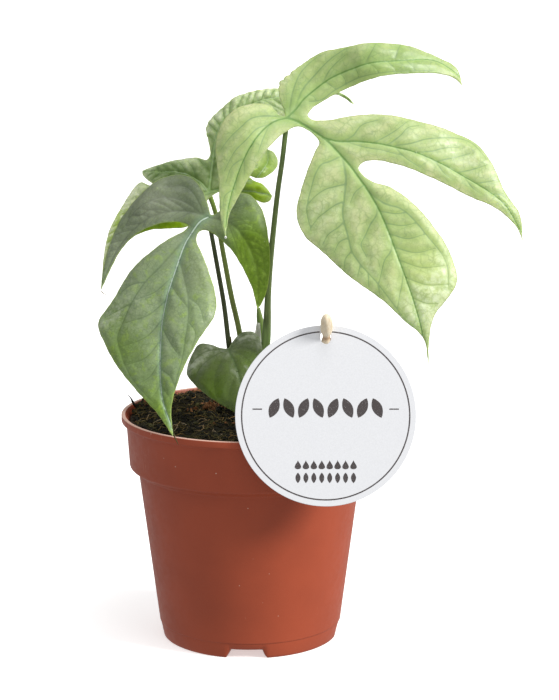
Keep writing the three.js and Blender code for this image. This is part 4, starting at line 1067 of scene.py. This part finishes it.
def drain_drill(material):
    """Rods from the pot's foot up through its floor, for cutting the drain holes."""
    radius, length = POT["drain_radius"], POT["floor"] + POT["floor_thickness"] + 3
    points, faces = [], []
    for i in range(POT["drains"]):
        angle = TURN * (i + 0.5) / POT["drains"]
        ring, sides = turned([(0, 0), (radius, 0), (radius, length), (0, length)], 24)
        ring += (POT["drain_circle"] * math.cos(angle), POT["drain_circle"] * math.sin(angle), 0)
        faces += [tuple(n + i * len(ring) for n in face) for face in sides]
        points.append(ring)
    return new_piece("drill", np.vstack(points), faces, material)


def pot_piece(material):
    """The pot, with notches in its foot ring and drain holes through its floor."""
    ring_inside, ring_outside = range(2, 5), range(5, 8)  # points of the profile
    half = POT["notch_width"] / 2 / POT["foot_radius"]
    slant = POT["notch_slant"] / POT["foot_radius"]

    def shift(k, angle, z):
        """Foot notches: the foot ring's lower part is pressed up under the floor there."""
        turn = TURN / POT["notches"]
        away = abs((angle - POT["notch_turn"] + turn / 2) % turn - turn / 2)
        share = min(1, max(0, (half + slant - away) / slant))
        share = share * share * (3 - 2 * share)
        if k in ring_inside:
            return z + 0.97 * share * (POT["floor"] - z)
        if k in ring_outside:
            return z + share * POT["notch_height"] * (POT["step"] - z) / POT["step"]
        return z

    points, faces = turned(pot_profile(), POT["segments"], shift)
    pot = new_piece("pot_shell", points, faces, material, replaces=["pot"])
    drill = drain_drill(material)
    cut = pot.modifiers.new("drains", "BOOLEAN")
    cut.operation, cut.object, cut.solver = "DIFFERENCE", drill, "EXACT"
    graph = bpy.context.evaluated_depsgraph_get()
    made = bpy.data.meshes.new_from_object(pot.evaluated_get(graph))
    pot.modifiers.clear()
    pot.data = made
    bpy.data.objects.remove(drill)


def pot_material():
    """Rust-coloured plastic, cloudy and grained, with white dust and a few scuffs, a pale lip that is partly
    wear and partly a painted highlight, and pale streaks down its flanks, partly scuffs and partly painted
    reflection.
    """
    shader = Shader("pot_plastic", IOR=1.46, Specular_IOR_Level=0.3)
    where = shader.place()
    axes = shader.node("SeparateXYZ", {0: where}).outputs
    rust = shader.tint(colour(164, 74, 47), colour(154, 69, 44), shader.noise(where, 0.03, 4), 0.3, 0.7)
    grain = shader.noise(where, 2.4, 2)
    rust = shader.tint(rust, colour(170, 84, 56), grain, 0.3, 0.75, 0, 0.2)
    # The pale lip top is partly wear and partly a painted highlight.
    lip = shader.ramp(axes[2], POT["height"] - 0.3, POT["height"] - 0.05, 0, 0.75)
    rust = shader.mix(lip, rust, colour(226, 190, 172))
    dust = shader.ramp(shader.cells(where, 0.16, "F1"), 0.035, 0.06, 0.5, 0)
    dusty = shader.ramp(shader.noise(where, 0.04, 2), 0.45, 0.6)
    rust = shader.mix(shader.times(dust, dusty), rust, colour(230, 205, 185))
    scuffs = shader.ramp(shader.noise(shader.place((1, 1, 0.12)), 0.5, 5, 0.75), 0.66, 0.74, 0, 0.5)
    scuffed = shader.ramp(shader.noise(where, 0.02, 1), 0.5, 0.62)
    rust = shader.mix(shader.times(scuffs, scuffed), rust, colour(214, 160, 130))
    # Pale streaks on the left and right flanks, as seen from the front: partly scuffs, partly painted
    # reflection.
    across = shader.sum(axes[0], pot_axis[0] / MM, "SUBTRACT")
    flanks = shader.ramp(shader.sum(across, 0, "ABSOLUTE"), 41, 49)
    scuffs_and_painted_reflection = shader.ramp(shader.noise(shader.place((1, 1, 0.1)), 0.8, 5, 0.8), 0.56, 0.76, 0, 0.42)
    rust = shader.mix(shader.times(flanks, scuffs_and_painted_reflection), rust, colour(232, 190, 160))
    shader.set("Base Color", rust)
    shader.set("Roughness", shader.ramp(shader.noise(where, 0.3, 4), 0.3, 0.7, 0.4, 0.5))
    shader.bump(grain, 0.12, 0.0001)
    return shader.material


def soil_height(x, y):
    """Top of the soil: a low mound with lumps of several sizes."""
    share = np.hypot(x, y) / SOIL["radius"]
    mound = SOIL["edge"] + SOIL["mound"] * (1 - share**2)
    mound += sum(high * math.exp(-((x - u) ** 2 + (y - v) ** 2) / spread**2)
                 for u, v, spread, high in SOIL_MOUNDS)
    here = Vector((x * 0.045, y * 0.045, 3.1))
    lumps = 1.5 * noise.noise(here) + 1.1 * noise.noise(here * 3.1) + 0.75 * noise.noise(here * 8.3)
    return mound + lumps * min(1, 0.35 + 2 * (1 - share)) + 0.4 * noise.noise(here * 19)


def soil_piece(material):
    """The soil as one closed solid: its lumpy top, and sides that follow the pot's inside."""
    rim = ellipse(SOIL["radius"], SOIL["radius"], SOIL["rim_points"])
    count = len(rim)
    grid = honeycomb(rim.min(axis=0), rim.max(axis=0), SOIL["grid"])
    grid = grid[np.hypot(*grid.T) < SOIL["radius"] - 0.5 * SOIL["grid"]]
    flat, triangles = triangulated(np.vstack([rim, grid]), face=range(count))
    top = np.array([(x, y, soil_height(x, y)) for x, y in flat.tolist()])
    floor_top = POT["floor"] + POT["floor_thickness"]
    sides = [(POT["band_foot_radius"], POT["band_foot"] + 1), (POT["shoulder_radius"], POT["shoulder"] - 1),
             (POT["step_radius"], POT["inside_step"]), (POT["foot_radius"], floor_top + 0.3)]
    rings = []
    for radius, z in sides:
        share = (radius - SOIL["wall_gap"]) / SOIL["radius"]
        rings.append(np.column_stack([rim * share, np.full(count, z)]))
    points = np.vstack([top, *rings, [[0, 0, sides[-1][1]]]])
    starts = [0] + [len(top) + k * count for k in range(len(sides))]
    faces = list(triangles)
    for upper, lower in zip(starts, starts[1:]):
        for i in range(count):
            j = (i + 1) % count
            faces.append((upper + i, lower + i, lower + j, upper + j))
    faces += [(starts[-1] + (i + 1) % count, starts[-1] + i, len(points) - 1) for i in range(count)]
    new_piece("soil_bed", points, faces, material, replaces=["soil"])


def soil_material():
    shader = Shader("peat", Roughness=0.95, Specular_IOR_Level=0.2)
    where = shader.place()
    peat = shader.tint(colour(24, 22, 16), colour(58, 49, 34), shader.noise(where, 0.35, 6, 0.7), 0.35, 0.65)
    peat = shader.tint(peat, colour(84, 70, 42), shader.noise(where, 1.3, 4, 0.7), 0.6, 0.74, 0, 0.6)
    shader.set("Base Color", peat)
    shader.bump(shader.noise(where, 2, 5, 0.8), 0.9, 0.0006)
    return shader.material


def crumb_material(name, shades, palest):
    """Crumbs, bark and fibres take their colour from their tone, through shades up to the palest at 1."""
    shader = Shader(name, Roughness=0.9, Specular_IOR_Level=0.25)
    ramp = shader.node("ValToRGB", {0: shader.mark("tone")})
    stops = ramp.color_ramp.elements
    stops[0].color, stops[1].color = colour(18, 17, 13), colour(*palest)
    for tone, shade in shades.items():
        stops.new(tone).color = colour(*shade)
    rough = shader.noise(shader.place(), 1.5, 4, 0.7)
    shader.set("Base Color", shader.tint(ramp.outputs[0], colour(16, 12, 9), rough, 0.3, 0.7, 0, 0.45))
    shader.bump(rough, 0.6, 0.0003)
    return shader.material


def icosahedron():
    """Twelve points and twenty faces of a ball of radius 1."""
    g = (1 + math.sqrt(5)) / 2
    points = [(-1, g, 0), (1, g, 0), (-1, -g, 0), (1, -g, 0), (0, -1, g), (0, 1, g),
              (0, -1, -g), (0, 1, -g), (g, 0, -1), (g, 0, 1), (-g, 0, -1), (-g, 0, 1)]
    faces = [(0, 11, 5), (0, 5, 1), (0, 1, 7), (0, 7, 10), (0, 10, 11), (1, 5, 9), (5, 11, 4), (11, 10, 2),
             (10, 7, 6), (7, 1, 8), (3, 9, 4), (3, 4, 2), (3, 2, 6), (3, 6, 8), (3, 8, 9), (4, 9, 5),
             (2, 4, 11), (6, 2, 10), (8, 6, 7), (9, 8, 1)]
    return np.array(points, float) / math.hypot(1, g), faces


def random_turn(rng):
    """A rotation matrix, drawn evenly."""
    w, x, y, z = unit(rng.normal(size=4))
    return np.array([
        [1 - 2 * (y * y + z * z), 2 * (x * y - z * w), 2 * (x * z + y * w)],
        [2 * (x * y + z * w), 1 - 2 * (x * x + z * z), 2 * (y * z - x * w)],
        [2 * (x * z - y * w), 2 * (y * z + x * w), 1 - 2 * (x * x + y * y)],
    ])


def soil_spot(rng, reach):
    """A place on the soil drawn evenly, within reach of the pot's axis."""
    radius = reach * math.sqrt(rng.uniform())
    angle = rng.uniform(0, TURN)
    return radius * math.cos(angle), radius * math.sin(angle)


class Heap:
    """Many small closed bits gathered in one piece, each with a tone of its own."""

    def __init__(self):
        self.points, self.faces, self.tones, self.count = [], [], [], 0

    def add(self, points, faces, tone=0):
        self.points.append(points)
        self.faces += [tuple(n + self.count for n in face) for face in faces]
        self.tones.append(np.full(len(points), tone))
        self.count += len(points)

    def piece(self, name, material, slot, smooth=True):
        new_piece(name, np.vstack(self.points), self.faces, material,
                  marks={"tone": np.concatenate(self.tones)}, smooth=smooth)


def crumbs_piece(material, rng):
    ball, sides = icosahedron()
    crumbs = Heap()
    for _ in range(SOIL["crumbs"]):
        x, y = soil_spot(rng, SOIL["crumb_reach"])
        size = rng.uniform(0.35, 0.75) if rng.uniform() < 0.8 else rng.uniform(0.8, 1.5)
        shape = ball * rng.uniform(0.75, 1.25, ball.shape) @ random_turn(rng).T * size * (1, 1, 0.8)
        tone = 0.02 + 0.25 * rng.uniform() ** 2 + (0.3 if rng.uniform() < 0.08 else 0)
        crumbs.add(shape + (x, y, soil_height(x, y) + 0.25 * size), sides, tone)
    crumbs.piece("soil_crumbs", material, "potting_mix", smooth=False)


def bark_piece(material, rng):
    """Bark chips in a few heaps, clear of the stem."""
    ball, sides = icosahedron()
    bark = Heap()
    for middle_x, middle_y, spread, count in BARK_HEAPS:
        for _ in range(count):
            x, y = middle_x + rng.normal(0, spread / 2), middle_y + rng.normal(0, spread / 2)
            if math.hypot(x, y) > SOIL["bark_reach"] or math.hypot(x, y - 1) < SOIL["stem_room"]:
                continue
            size = rng.uniform(1.2, 2.8), rng.uniform(0.5, 1.1), rng.uniform(0.3, 0.6)
            shape = ball * rng.uniform(0.7, 1.3, ball.shape) * size @ random_turn(rng).T
            bark.add(shape + (x, y, soil_height(x, y) + 0.7), sides, rng.uniform(0.55, 0.95))
    bark.piece("soil_bark", material, "potting_mix", smooth=False)


def fibres_piece(material, rng):
    """Fibres all over the soil, a fifth of them bold, and one long one at the front."""
    fibres = Heap()
    for _ in range(SOIL["fibres"]):
        place = soil_spot(rng, SOIL["fibre_reach"])
        bold = rng.uniform() < 0.2
        length = rng.uniform(5, 13) if bold else rng.uniform(2.5, 8)
        radius = 0.17 if bold else rng.uniform(0.07, 0.13)
        tone = rng.uniform(0.5, 0.9) if bold else rng.uniform(0.27, 0.62)
        add_fibre(fibres, rng, place, length, rng.uniform(0.2, 1.8), radius, tone)
    fibres.add(*tube(smooth_line(FIBRE_LONG, 1.5), 6), 0.9)
    fibres.piece("soil_fibres", material, "potting_mix")


def add_fibre(heap, rng, place, length, lift, radius, tone, floor=0.0):
    """One curly fibre that lies on the soil round a place, bowed up in its middle."""
    heading, bow = rng.uniform(0, TURN), rng.uniform(-0.5, 0.5)
    wiggle, phase = rng.uniform(0, 0.6), rng.uniform(0, TURN)
    path = []
    for t in np.linspace(-0.5, 0.5, 8):
        turn = heading + bow * t * 3 + wiggle * math.sin(9 * t + phase)
        x, y = place[0] + t * length * math.cos(turn), place[1] + t * length * math.sin(turn)
        if math.hypot(x, y) > SOIL["fibre_limit"]:
            break
        rise = max(soil_height(x, y), floor) + lift * (1 - 4 * t * t) + rng.uniform(-0.1, 0.1)
        path.append((x, y, rise, radius))
    if len(path) > 3:
        heap.add(*tube(path, 4), tone)


def twig_piece(material):
    """Twig and fibrous heap at the left of the lip."""
    rng = np.random.default_rng(11)
    ball, sides = icosahedron()
    twig = Heap()
    twig.add(*tube(smooth_line(TWIG, 0.8), 8), 0.1)
    for x, y, z, spread in RIM_HEAP:
        for _ in range(HEAP_CRUMBS):
            place = np.array((x, y, z)) + rng.normal(0, spread / 2.2, 3) * (0.9, 1, 0.8)
            if math.hypot(place[0], place[1]) > HEAP_LIMIT:
                continue
            shape = ball * rng.uniform(0.7, 1.3, ball.shape) * rng.uniform(0.35, 0.8)
            twig.add(shape @ random_turn(rng).T + place, sides, rng.uniform(0.05, 0.5))
        for _ in range(HEAP_FIBRES):
            place = np.array((x, y)) + rng.normal(0, spread / 2, 2)
            length, lift, tone = rng.uniform(2, 5), rng.uniform(0.3, 1.3), rng.uniform(0.4, 0.75)
            add_fibre(twig, rng, place, length, lift, 0.1, tone, z - 0.3 * spread)
    twig.piece("soil_twig", material, "potting_mix")


def ends_piece(material):
    ends = Heap()
    for line, step, sides, tone in FRONT_ENDS:
        ends.add(*tube(smooth_line(line, step), sides), tone)
    ends.piece("leaf_front_ends", material, "stalk_dark")


def drop_piece():
    """A drop of sap at the tip of the right leaf's left lobe: partly clear, and whitish as a painted glint.
    """
    shader = Shader("sap", Base_Color=colour(250, 252, 248), Roughness=0.08, IOR=1.35,
                    Transmission_Weight=0.6)
    points, faces = turned(DROP_SECTION, 16)
    new_piece("leaf_right_drop", points + DROP_PLACE, faces, shader.material)


def tag_axes():
    """The tag's centre, and unit vectors to its right, up its face and out of it."""
    lean = math.radians(TAG["lean_back"])
    up = np.array([0, math.sin(lean), math.cos(lean)])
    out = np.array([0, -math.cos(lean), math.sin(lean)])
    return np.array(TAG["centre"]), np.array([1.0, 0, 0]), up, out


def on_tag(flat, height):
    """Points (x, y) on the tag's face, at heights out of its middle plane."""
    centre, right, up, out = tag_axes()
    flat = np.asarray(flat, float)
    height = np.broadcast_to(height, len(flat))[:, None]
    return centre + flat[:, :1] * right + flat[:, 1:] * up + height * out


def plate(outer, low, high, hole=None, bevel=0.0):
    """A flat plate in the tag's own plane, with an outline and perhaps a hole, as points and faces."""
    loops = [list(range(len(outer)))]
    if hole is not None:
        loops.append(list(range(len(outer), len(outer) + len(hole)))[::-1])
        outer = np.vstack([outer, hole])
    edges = [(loop[i], loop[(i + 1) % len(loop)]) for loop in loops for i in range(len(loop))]
    flat, triangles = triangulated(outer, edges=edges, merge=1e-5)
    if hole is not None:
        triangles = triangles[~inside(hole, flat[triangles].mean(axis=1))]
    a, b, c = (flat[triangles[:, k]] for k in range(3))
    area = (b - a)[:, 0] * (c - a)[:, 1] - (b - a)[:, 1] * (c - a)[:, 0]
    triangles[area < 0] = triangles[area < 0][:, ::-1]
    rim = boundary(triangles)
    count = len(flat)
    inward = np.zeros_like(flat)
    for p, q in rim:
        way = flat[q] - flat[p]
        normal = np.array([-way[1], way[0]]) / max(np.linalg.norm(way), 1e-9)
        inward[p] += normal
        inward[q] += normal
    inward /= np.maximum(np.linalg.norm(inward, axis=1), 1e-9)[:, None]
    layers = [(bevel, high), (0, high - bevel), (0, low + bevel), (bevel, low)]
    if bevel == 0:
        layers = [layers[0], layers[3]]
    points = np.vstack([on_tag(flat + inset * inward, z) for inset, z in layers])
    last = (len(layers) - 1) * count
    faces = [*triangles, *(triangles[:, ::-1] + last)]
    for k in range(len(layers) - 1):
        faces += [(b + k * count, a + k * count, a + (k + 1) * count, b + (k + 1) * count) for a, b in rim]
    return points, faces


def tag_piece(material):
    hole = ellipse(TAG["hole_radius"], TAG["hole_height"], 40, (0, TAG["hole_above"]))
    disc = ellipse(TAG["radius"], TAG["radius"], 240)
    points, faces = plate(disc, -TAG["thickness"] / 2, TAG["thickness"] / 2, hole, 0.12)
    new_piece("tag_disc", points, faces, material, replaces=["tag"], smooth=False)


def card_material():
    shader = Shader("tag_card", Roughness=0.6, Specular_IOR_Level=0.35)
    paper = shader.noise(shader.place(), 1.5, 5, 0.7)
    shader.set("Base Color", shader.tint(colour(219, 220, 223), colour(226, 227, 230), paper, 0.3, 0.7))
    shader.bump(paper, 0.1, 0.00005)
    return shader.material


def ink_material():
    """Dark grey ink with small worn specks."""
    shader = Shader("tag_ink", Roughness=0.6, Specular_IOR_Level=0.3)
    specks = shader.noise(shader.place(), 2.6, 4, 0.75)
    worn = shader.ramp(specks, 0.6, 0.7, 0, 0.75)
    shader.set("Base Color", shader.mix(worn, colour(74, 68, 68), colour(216, 216, 219)))
    return shader.material


def leaf_outline(size, centre, tilt=0.0):
    """A small plain leaf, pointed at both ends."""
    length, width = size
    t = np.linspace(0, 1, 14)
    side = width / 2 * np.sin(t * math.pi) ** 0.8
    right = np.column_stack([side, (t - 0.5) * length])
    left = np.column_stack([-side, (t - 0.5) * length])[::-1][1:-1]
    shape = np.vstack([right, left])
    spin = np.array([[math.cos(tilt), -math.sin(tilt)], [math.sin(tilt), math.cos(tilt)]])
    return shape @ spin.T + centre


def drop_outline(size, centre):
    """A water drop: round below, pointed above."""
    t = np.linspace(0, TURN, 28, endpoint=False)
    x = size / 2 * np.sin(t) * (1 - np.cos(t)) * 0.55
    y = -size / 2 * np.cos(t + math.pi)
    return np.column_stack([x, y]) + centre


def tag_print(material):
    """Printed ring, a row of plain leaves between two dashes, and rows of drops and small leaves below."""
    angles = np.linspace(math.pi / 2 + TAG["ring_gap"], math.pi / 2 + TURN - TAG["ring_gap"], 240)
    ring = np.column_stack([np.cos(angles), np.sin(angles)])
    half = TAG["ring_width"] / 2
    shapes = [np.vstack([ring * (TAG["ring_radius"] + half), ring[::-1] * (TAG["ring_radius"] - half)])]
    places = np.arange(PRINT["in_row"]) - (PRINT["in_row"] - 1) / 2
    for i, place in enumerate(places * PRINT["leaf_pitch"]):
        tilt = PRINT["leaf_tilt"] if i % 2 else -PRINT["leaf_tilt"]
        shapes.append(leaf_outline(PRINT["leaf"], (place, PRINT["leaf_up"]), tilt))
    for side in (-1, 1):
        dash = np.array([(-1, -1), (1, -1), (1, 1), (-1, 1)]) * PRINT["dash"] / 2
        shapes.append(dash + (side * PRINT["dash_aside"], PRINT["dash_up"]))
    for place in places * PRINT["small_pitch"]:
        shapes.append(drop_outline(PRINT["drop"], (place, PRINT["drop_up"])))
        shapes.append(leaf_outline(PRINT["small_leaf"], (place, PRINT["small_leaf_up"])))
    low, high = (TAG["thickness"] / 2 + height for height in PRINT["ink"])
    ink = Heap()
    for shape in shapes:
        ink.add(*plate(shape, low, high))
    ink.piece("tag_print", material, "tag_card", smooth=False)


def pick_piece(material):
    """Rod with a bullet head, whittled rather than round, through the tag's hole."""
    centre, side, up, _ = tag_axes()
    lean = math.radians(PICK_LEAN)
    upwards = np.array([0, -math.sin(lean), math.cos(lean)])
    crossing = centre + up * TAG["hole_above"] + 0.3 * side
    line = smooth_line(PICK_SECTION, 0.45)
    points, faces = turned([(0, line[0][1]), *[tuple(p) for p in line[1:-1]], (0, line[-1][1])], 36)
    angle = np.arctan2(points[:, 1], points[:, 0])
    whittled = 1 + 0.035 * np.cos(5 * angle + 0.2 * points[:, 2]) + 0.02 * np.cos(3 * angle + 1)
    points[:, :2] *= whittled[:, None]
    # Darker brown round the tag's hole: partly a stain, partly painted shade in the hole.
    stain_and_painted_shade = 0.75 * bell(points[:, 2] - 0.1, 1.1)
    back = np.cross(upwards, side)
    points = crossing + points[:, :1] * side + points[:, 1:2] * back + points[:, 2:] * upwards
    new_piece("pick_rod", points, faces, material, replaces=["pick"],
              marks={"stain_and_painted_shade": stain_and_painted_shade})


def wood_material():
    shader = Shader("pick_wood", Roughness=0.7, Specular_IOR_Level=0.3)
    grain = shader.noise(shader.place((1, 0.35, 0.35)), 1.6, 4, 0.65)
    wood = shader.tint(colour(232, 219, 194), colour(212, 190, 156), grain, 0.35, 0.75)
    # Brown where the rod passes the hole: partly a stain, partly painted shade.
    wood = shader.mix(shader.mark("stain_and_painted_shade"), wood, colour(158, 116, 78))
    pores = shader.cells(shader.place((1, 0.5, 0.5)), 1.3, "F1")
    shader.set("Base Color", shader.tint(wood, colour(160, 122, 82), pores, 0.06, 0.14, 0.55, 0))
    shader.bump(grain, 0.35, 0.00025)
    return shader.material


def scale_piece(material):
    """Papery scale: a crescent that half wraps the shoot and narrows upwards."""
    foot, top = np.array(SCALE["foot"], float), np.array(SCALE["top"], float)
    rings = []
    for t in np.linspace(0, 1, 24):
        centre = foot + (top - foot) * t
        spread = SCALE["spread_foot"] + (SCALE["spread_top"] - SCALE["spread_foot"]) * t**1.3
        ring = []
        for radius, way in ((SCALE["inner"], 1), (SCALE["inner"] + SCALE["wall"], -1)):
            for i in np.linspace(-1, 1, 13):
                angle = SCALE["facing"] + way * spread * i
                wrinkle = 0.12 * math.sin(9 * angle + 3 * t)
                ring.append(centre + np.array([math.cos(angle), math.sin(angle), 0]) * (radius + wrinkle))
        rings.append(np.array(ring[::-1]))
    points, faces = loft(rings)
    new_piece("shoot_sheath", points, faces, material, replaces=["shoot_scale"])


def papery_material():
    shader = Shader("papery_scale", Roughness=0.6, Subsurface_Weight=0.6, Subsurface_Scale=0.002,
                    Subsurface_Radius=(1, 0.95, 0.8))
    streaks = shader.noise(shader.place((1, 1, 0.15)), 1.2, 4, 0.6)
    straw = shader.tint(colour(252, 252, 236), colour(238, 240, 214), streaks, 0.35, 0.65)
    spots = shader.noise(shader.place(), 0.35, 2)
    shader.set("Base Color", shader.tint(straw, colour(196, 176, 130), spots, 0.68, 0.76, 0, 0.4))
    shader.bump(streaks, 0.4, 0.0003)
    return shader.material


def stage_piece(name, points, faces, shader, hidden_from):
    """Part of the studio, in metres round the origin, that the named kinds of light ray don't see."""
    piece = new_object(name, new_mesh(name, points, faces, shader.material))
    for ray in hidden_from:
        setattr(piece, "visible_" + ray, False)


def plain_floor():
    """A pale disc that glows a little, so that the shadow on it stays light."""
    shader = Shader("floor", Base_Color=colour(244, 244, 243), Roughness=0.9, Specular_IOR_Level=0.1,
                    Emission_Color=WHITE, Emission_Strength=0.52)
    rim = np.pad(ellipse(ROOM, ROOM, 96), ((0, 0), (0, 1)))
    stage_piece("floor", rim, [range(len(rim))], shader, ("diffuse", "glossy"))


def white_backdrop():
    """A white dome far behind everything, which the camera sees and no other light ray does."""
    shader = Shader("backdrop", Base_Color=(0, 0, 0, 1), Emission_Color=WHITE, Emission_Strength=1)
    arc = [(ROOM * math.cos(a), ROOM * math.sin(a)) for a in np.radians(range(-90, 91, 10))]
    points, faces = turned(arc, 48)
    stage_piece("backdrop", points, faces, shader, ("diffuse", "glossy", "transmission", "shadow"))


def new_light(name, kind, direction, energy, **settings):
    """A light that shines along a direction."""
    data = bpy.data.lights.new(name, kind)
    data.energy = energy
    for key, value in settings.items():
        setattr(data, key, value)
    light = new_object(name, data)
    light.rotation_euler = direction.to_track_quat("-Z", "Y").to_euler()
    return light


def studio():
    """A low soft sun from the right, a soft box above and a pale sky."""
    scene = bpy.context.scene
    scene.view_settings.view_transform = "Standard"
    scene.world = bpy.data.worlds.new("studio")
    scene.world.use_nodes = True
    sky = scene.world.node_tree.nodes["Background"].inputs
    sky["Color"].default_value = (0.98, 0.99, 1, 1)
    sky["Strength"].default_value = 0.58
    azimuth, height = math.radians(68), math.radians(31)
    towards = Vector((math.sin(azimuth) * math.cos(height), -math.cos(azimuth) * math.cos(height),
                      math.sin(height)))
    new_light("key", "SUN", -towards, 3.4, angle=math.radians(18), color=(1, 0.985, 0.965))
    place, target = Vector((0.12, -0.3, 1.2)), Vector((0, 0, 0.15))
    box = new_light("top", "AREA", target - place, 3.6, size=0.42)
    box.location = Vector(pot_axis) + place


def photo_camera():
    data = bpy.data.cameras.new("camera")
    data.sensor_width = SENSOR
    data.lens = CAMERA_FOCUS * SENSOR / max(PHOTO_SIZE)
    camera = new_object("camera", data)
    camera.location = metres(CAMERA_PLACE)
    camera.rotation_euler = (math.radians(90 - CAMERA_PITCH), 0, 0)
    bpy.context.scene.camera = camera


def column(rows, k):
    """The values of leaf k out of rows that hold all four leaves'."""
    return {key: row[k] for key, row in rows.items()}


stalks = {name: stalk_material(name, *look) for name, look in STALK_LOOKS.items()}
for k, (leaf, plan) in enumerate(LEAVES.items()):
    colours = {part: colour(*shade) for part, shade in column(LEAF_COLOURS, k).items()}
    green = leaf_material(plan["slot"], {**column(LEAF_LOOKS, k), **colours})
    blade_piece("leaf_" + leaf, plan, column(LEAF_RELIEFS, k), green, k + 1)
for leaf, plan in LEAVES.items():
    stalk_piece(f"leaf_{leaf}_petiole", plan["petiole"], stalks[plan["petiole_look"]],
                leaf=plan, section=petiole_section(*plan["section"]), knee=plan["knee"])
stalk_piece("stem", STEM, stalks["base"], sides=28)
stalk_piece("shoot", SHOOT, stalks["fresh"])
scale_piece(papery_material())

pot_piece(pot_material())
soil_piece(soil_material())
bits = crumb_material("soil_bits", {0.25: (46, 44, 29), 0.45: (94, 91, 52), 0.6: (122, 106, 62),
                                    0.8: (160, 126, 76)}, (210, 198, 172))
chips = crumb_material("bark_chips", {0.5: (108, 72, 46), 0.75: (158, 104, 66)}, (184, 136, 92))
draws = np.random.default_rng(7)
crumbs_piece(bits, draws)
bark_piece(chips, draws)
fibres_piece(bits, draws)
twig_piece(bits)
ends_piece(bits)
drop_piece()
tag_piece(card_material())
tag_print(ink_material())
pick_piece(wood_material())

plain_floor()
white_backdrop()
studio()
photo_camera()
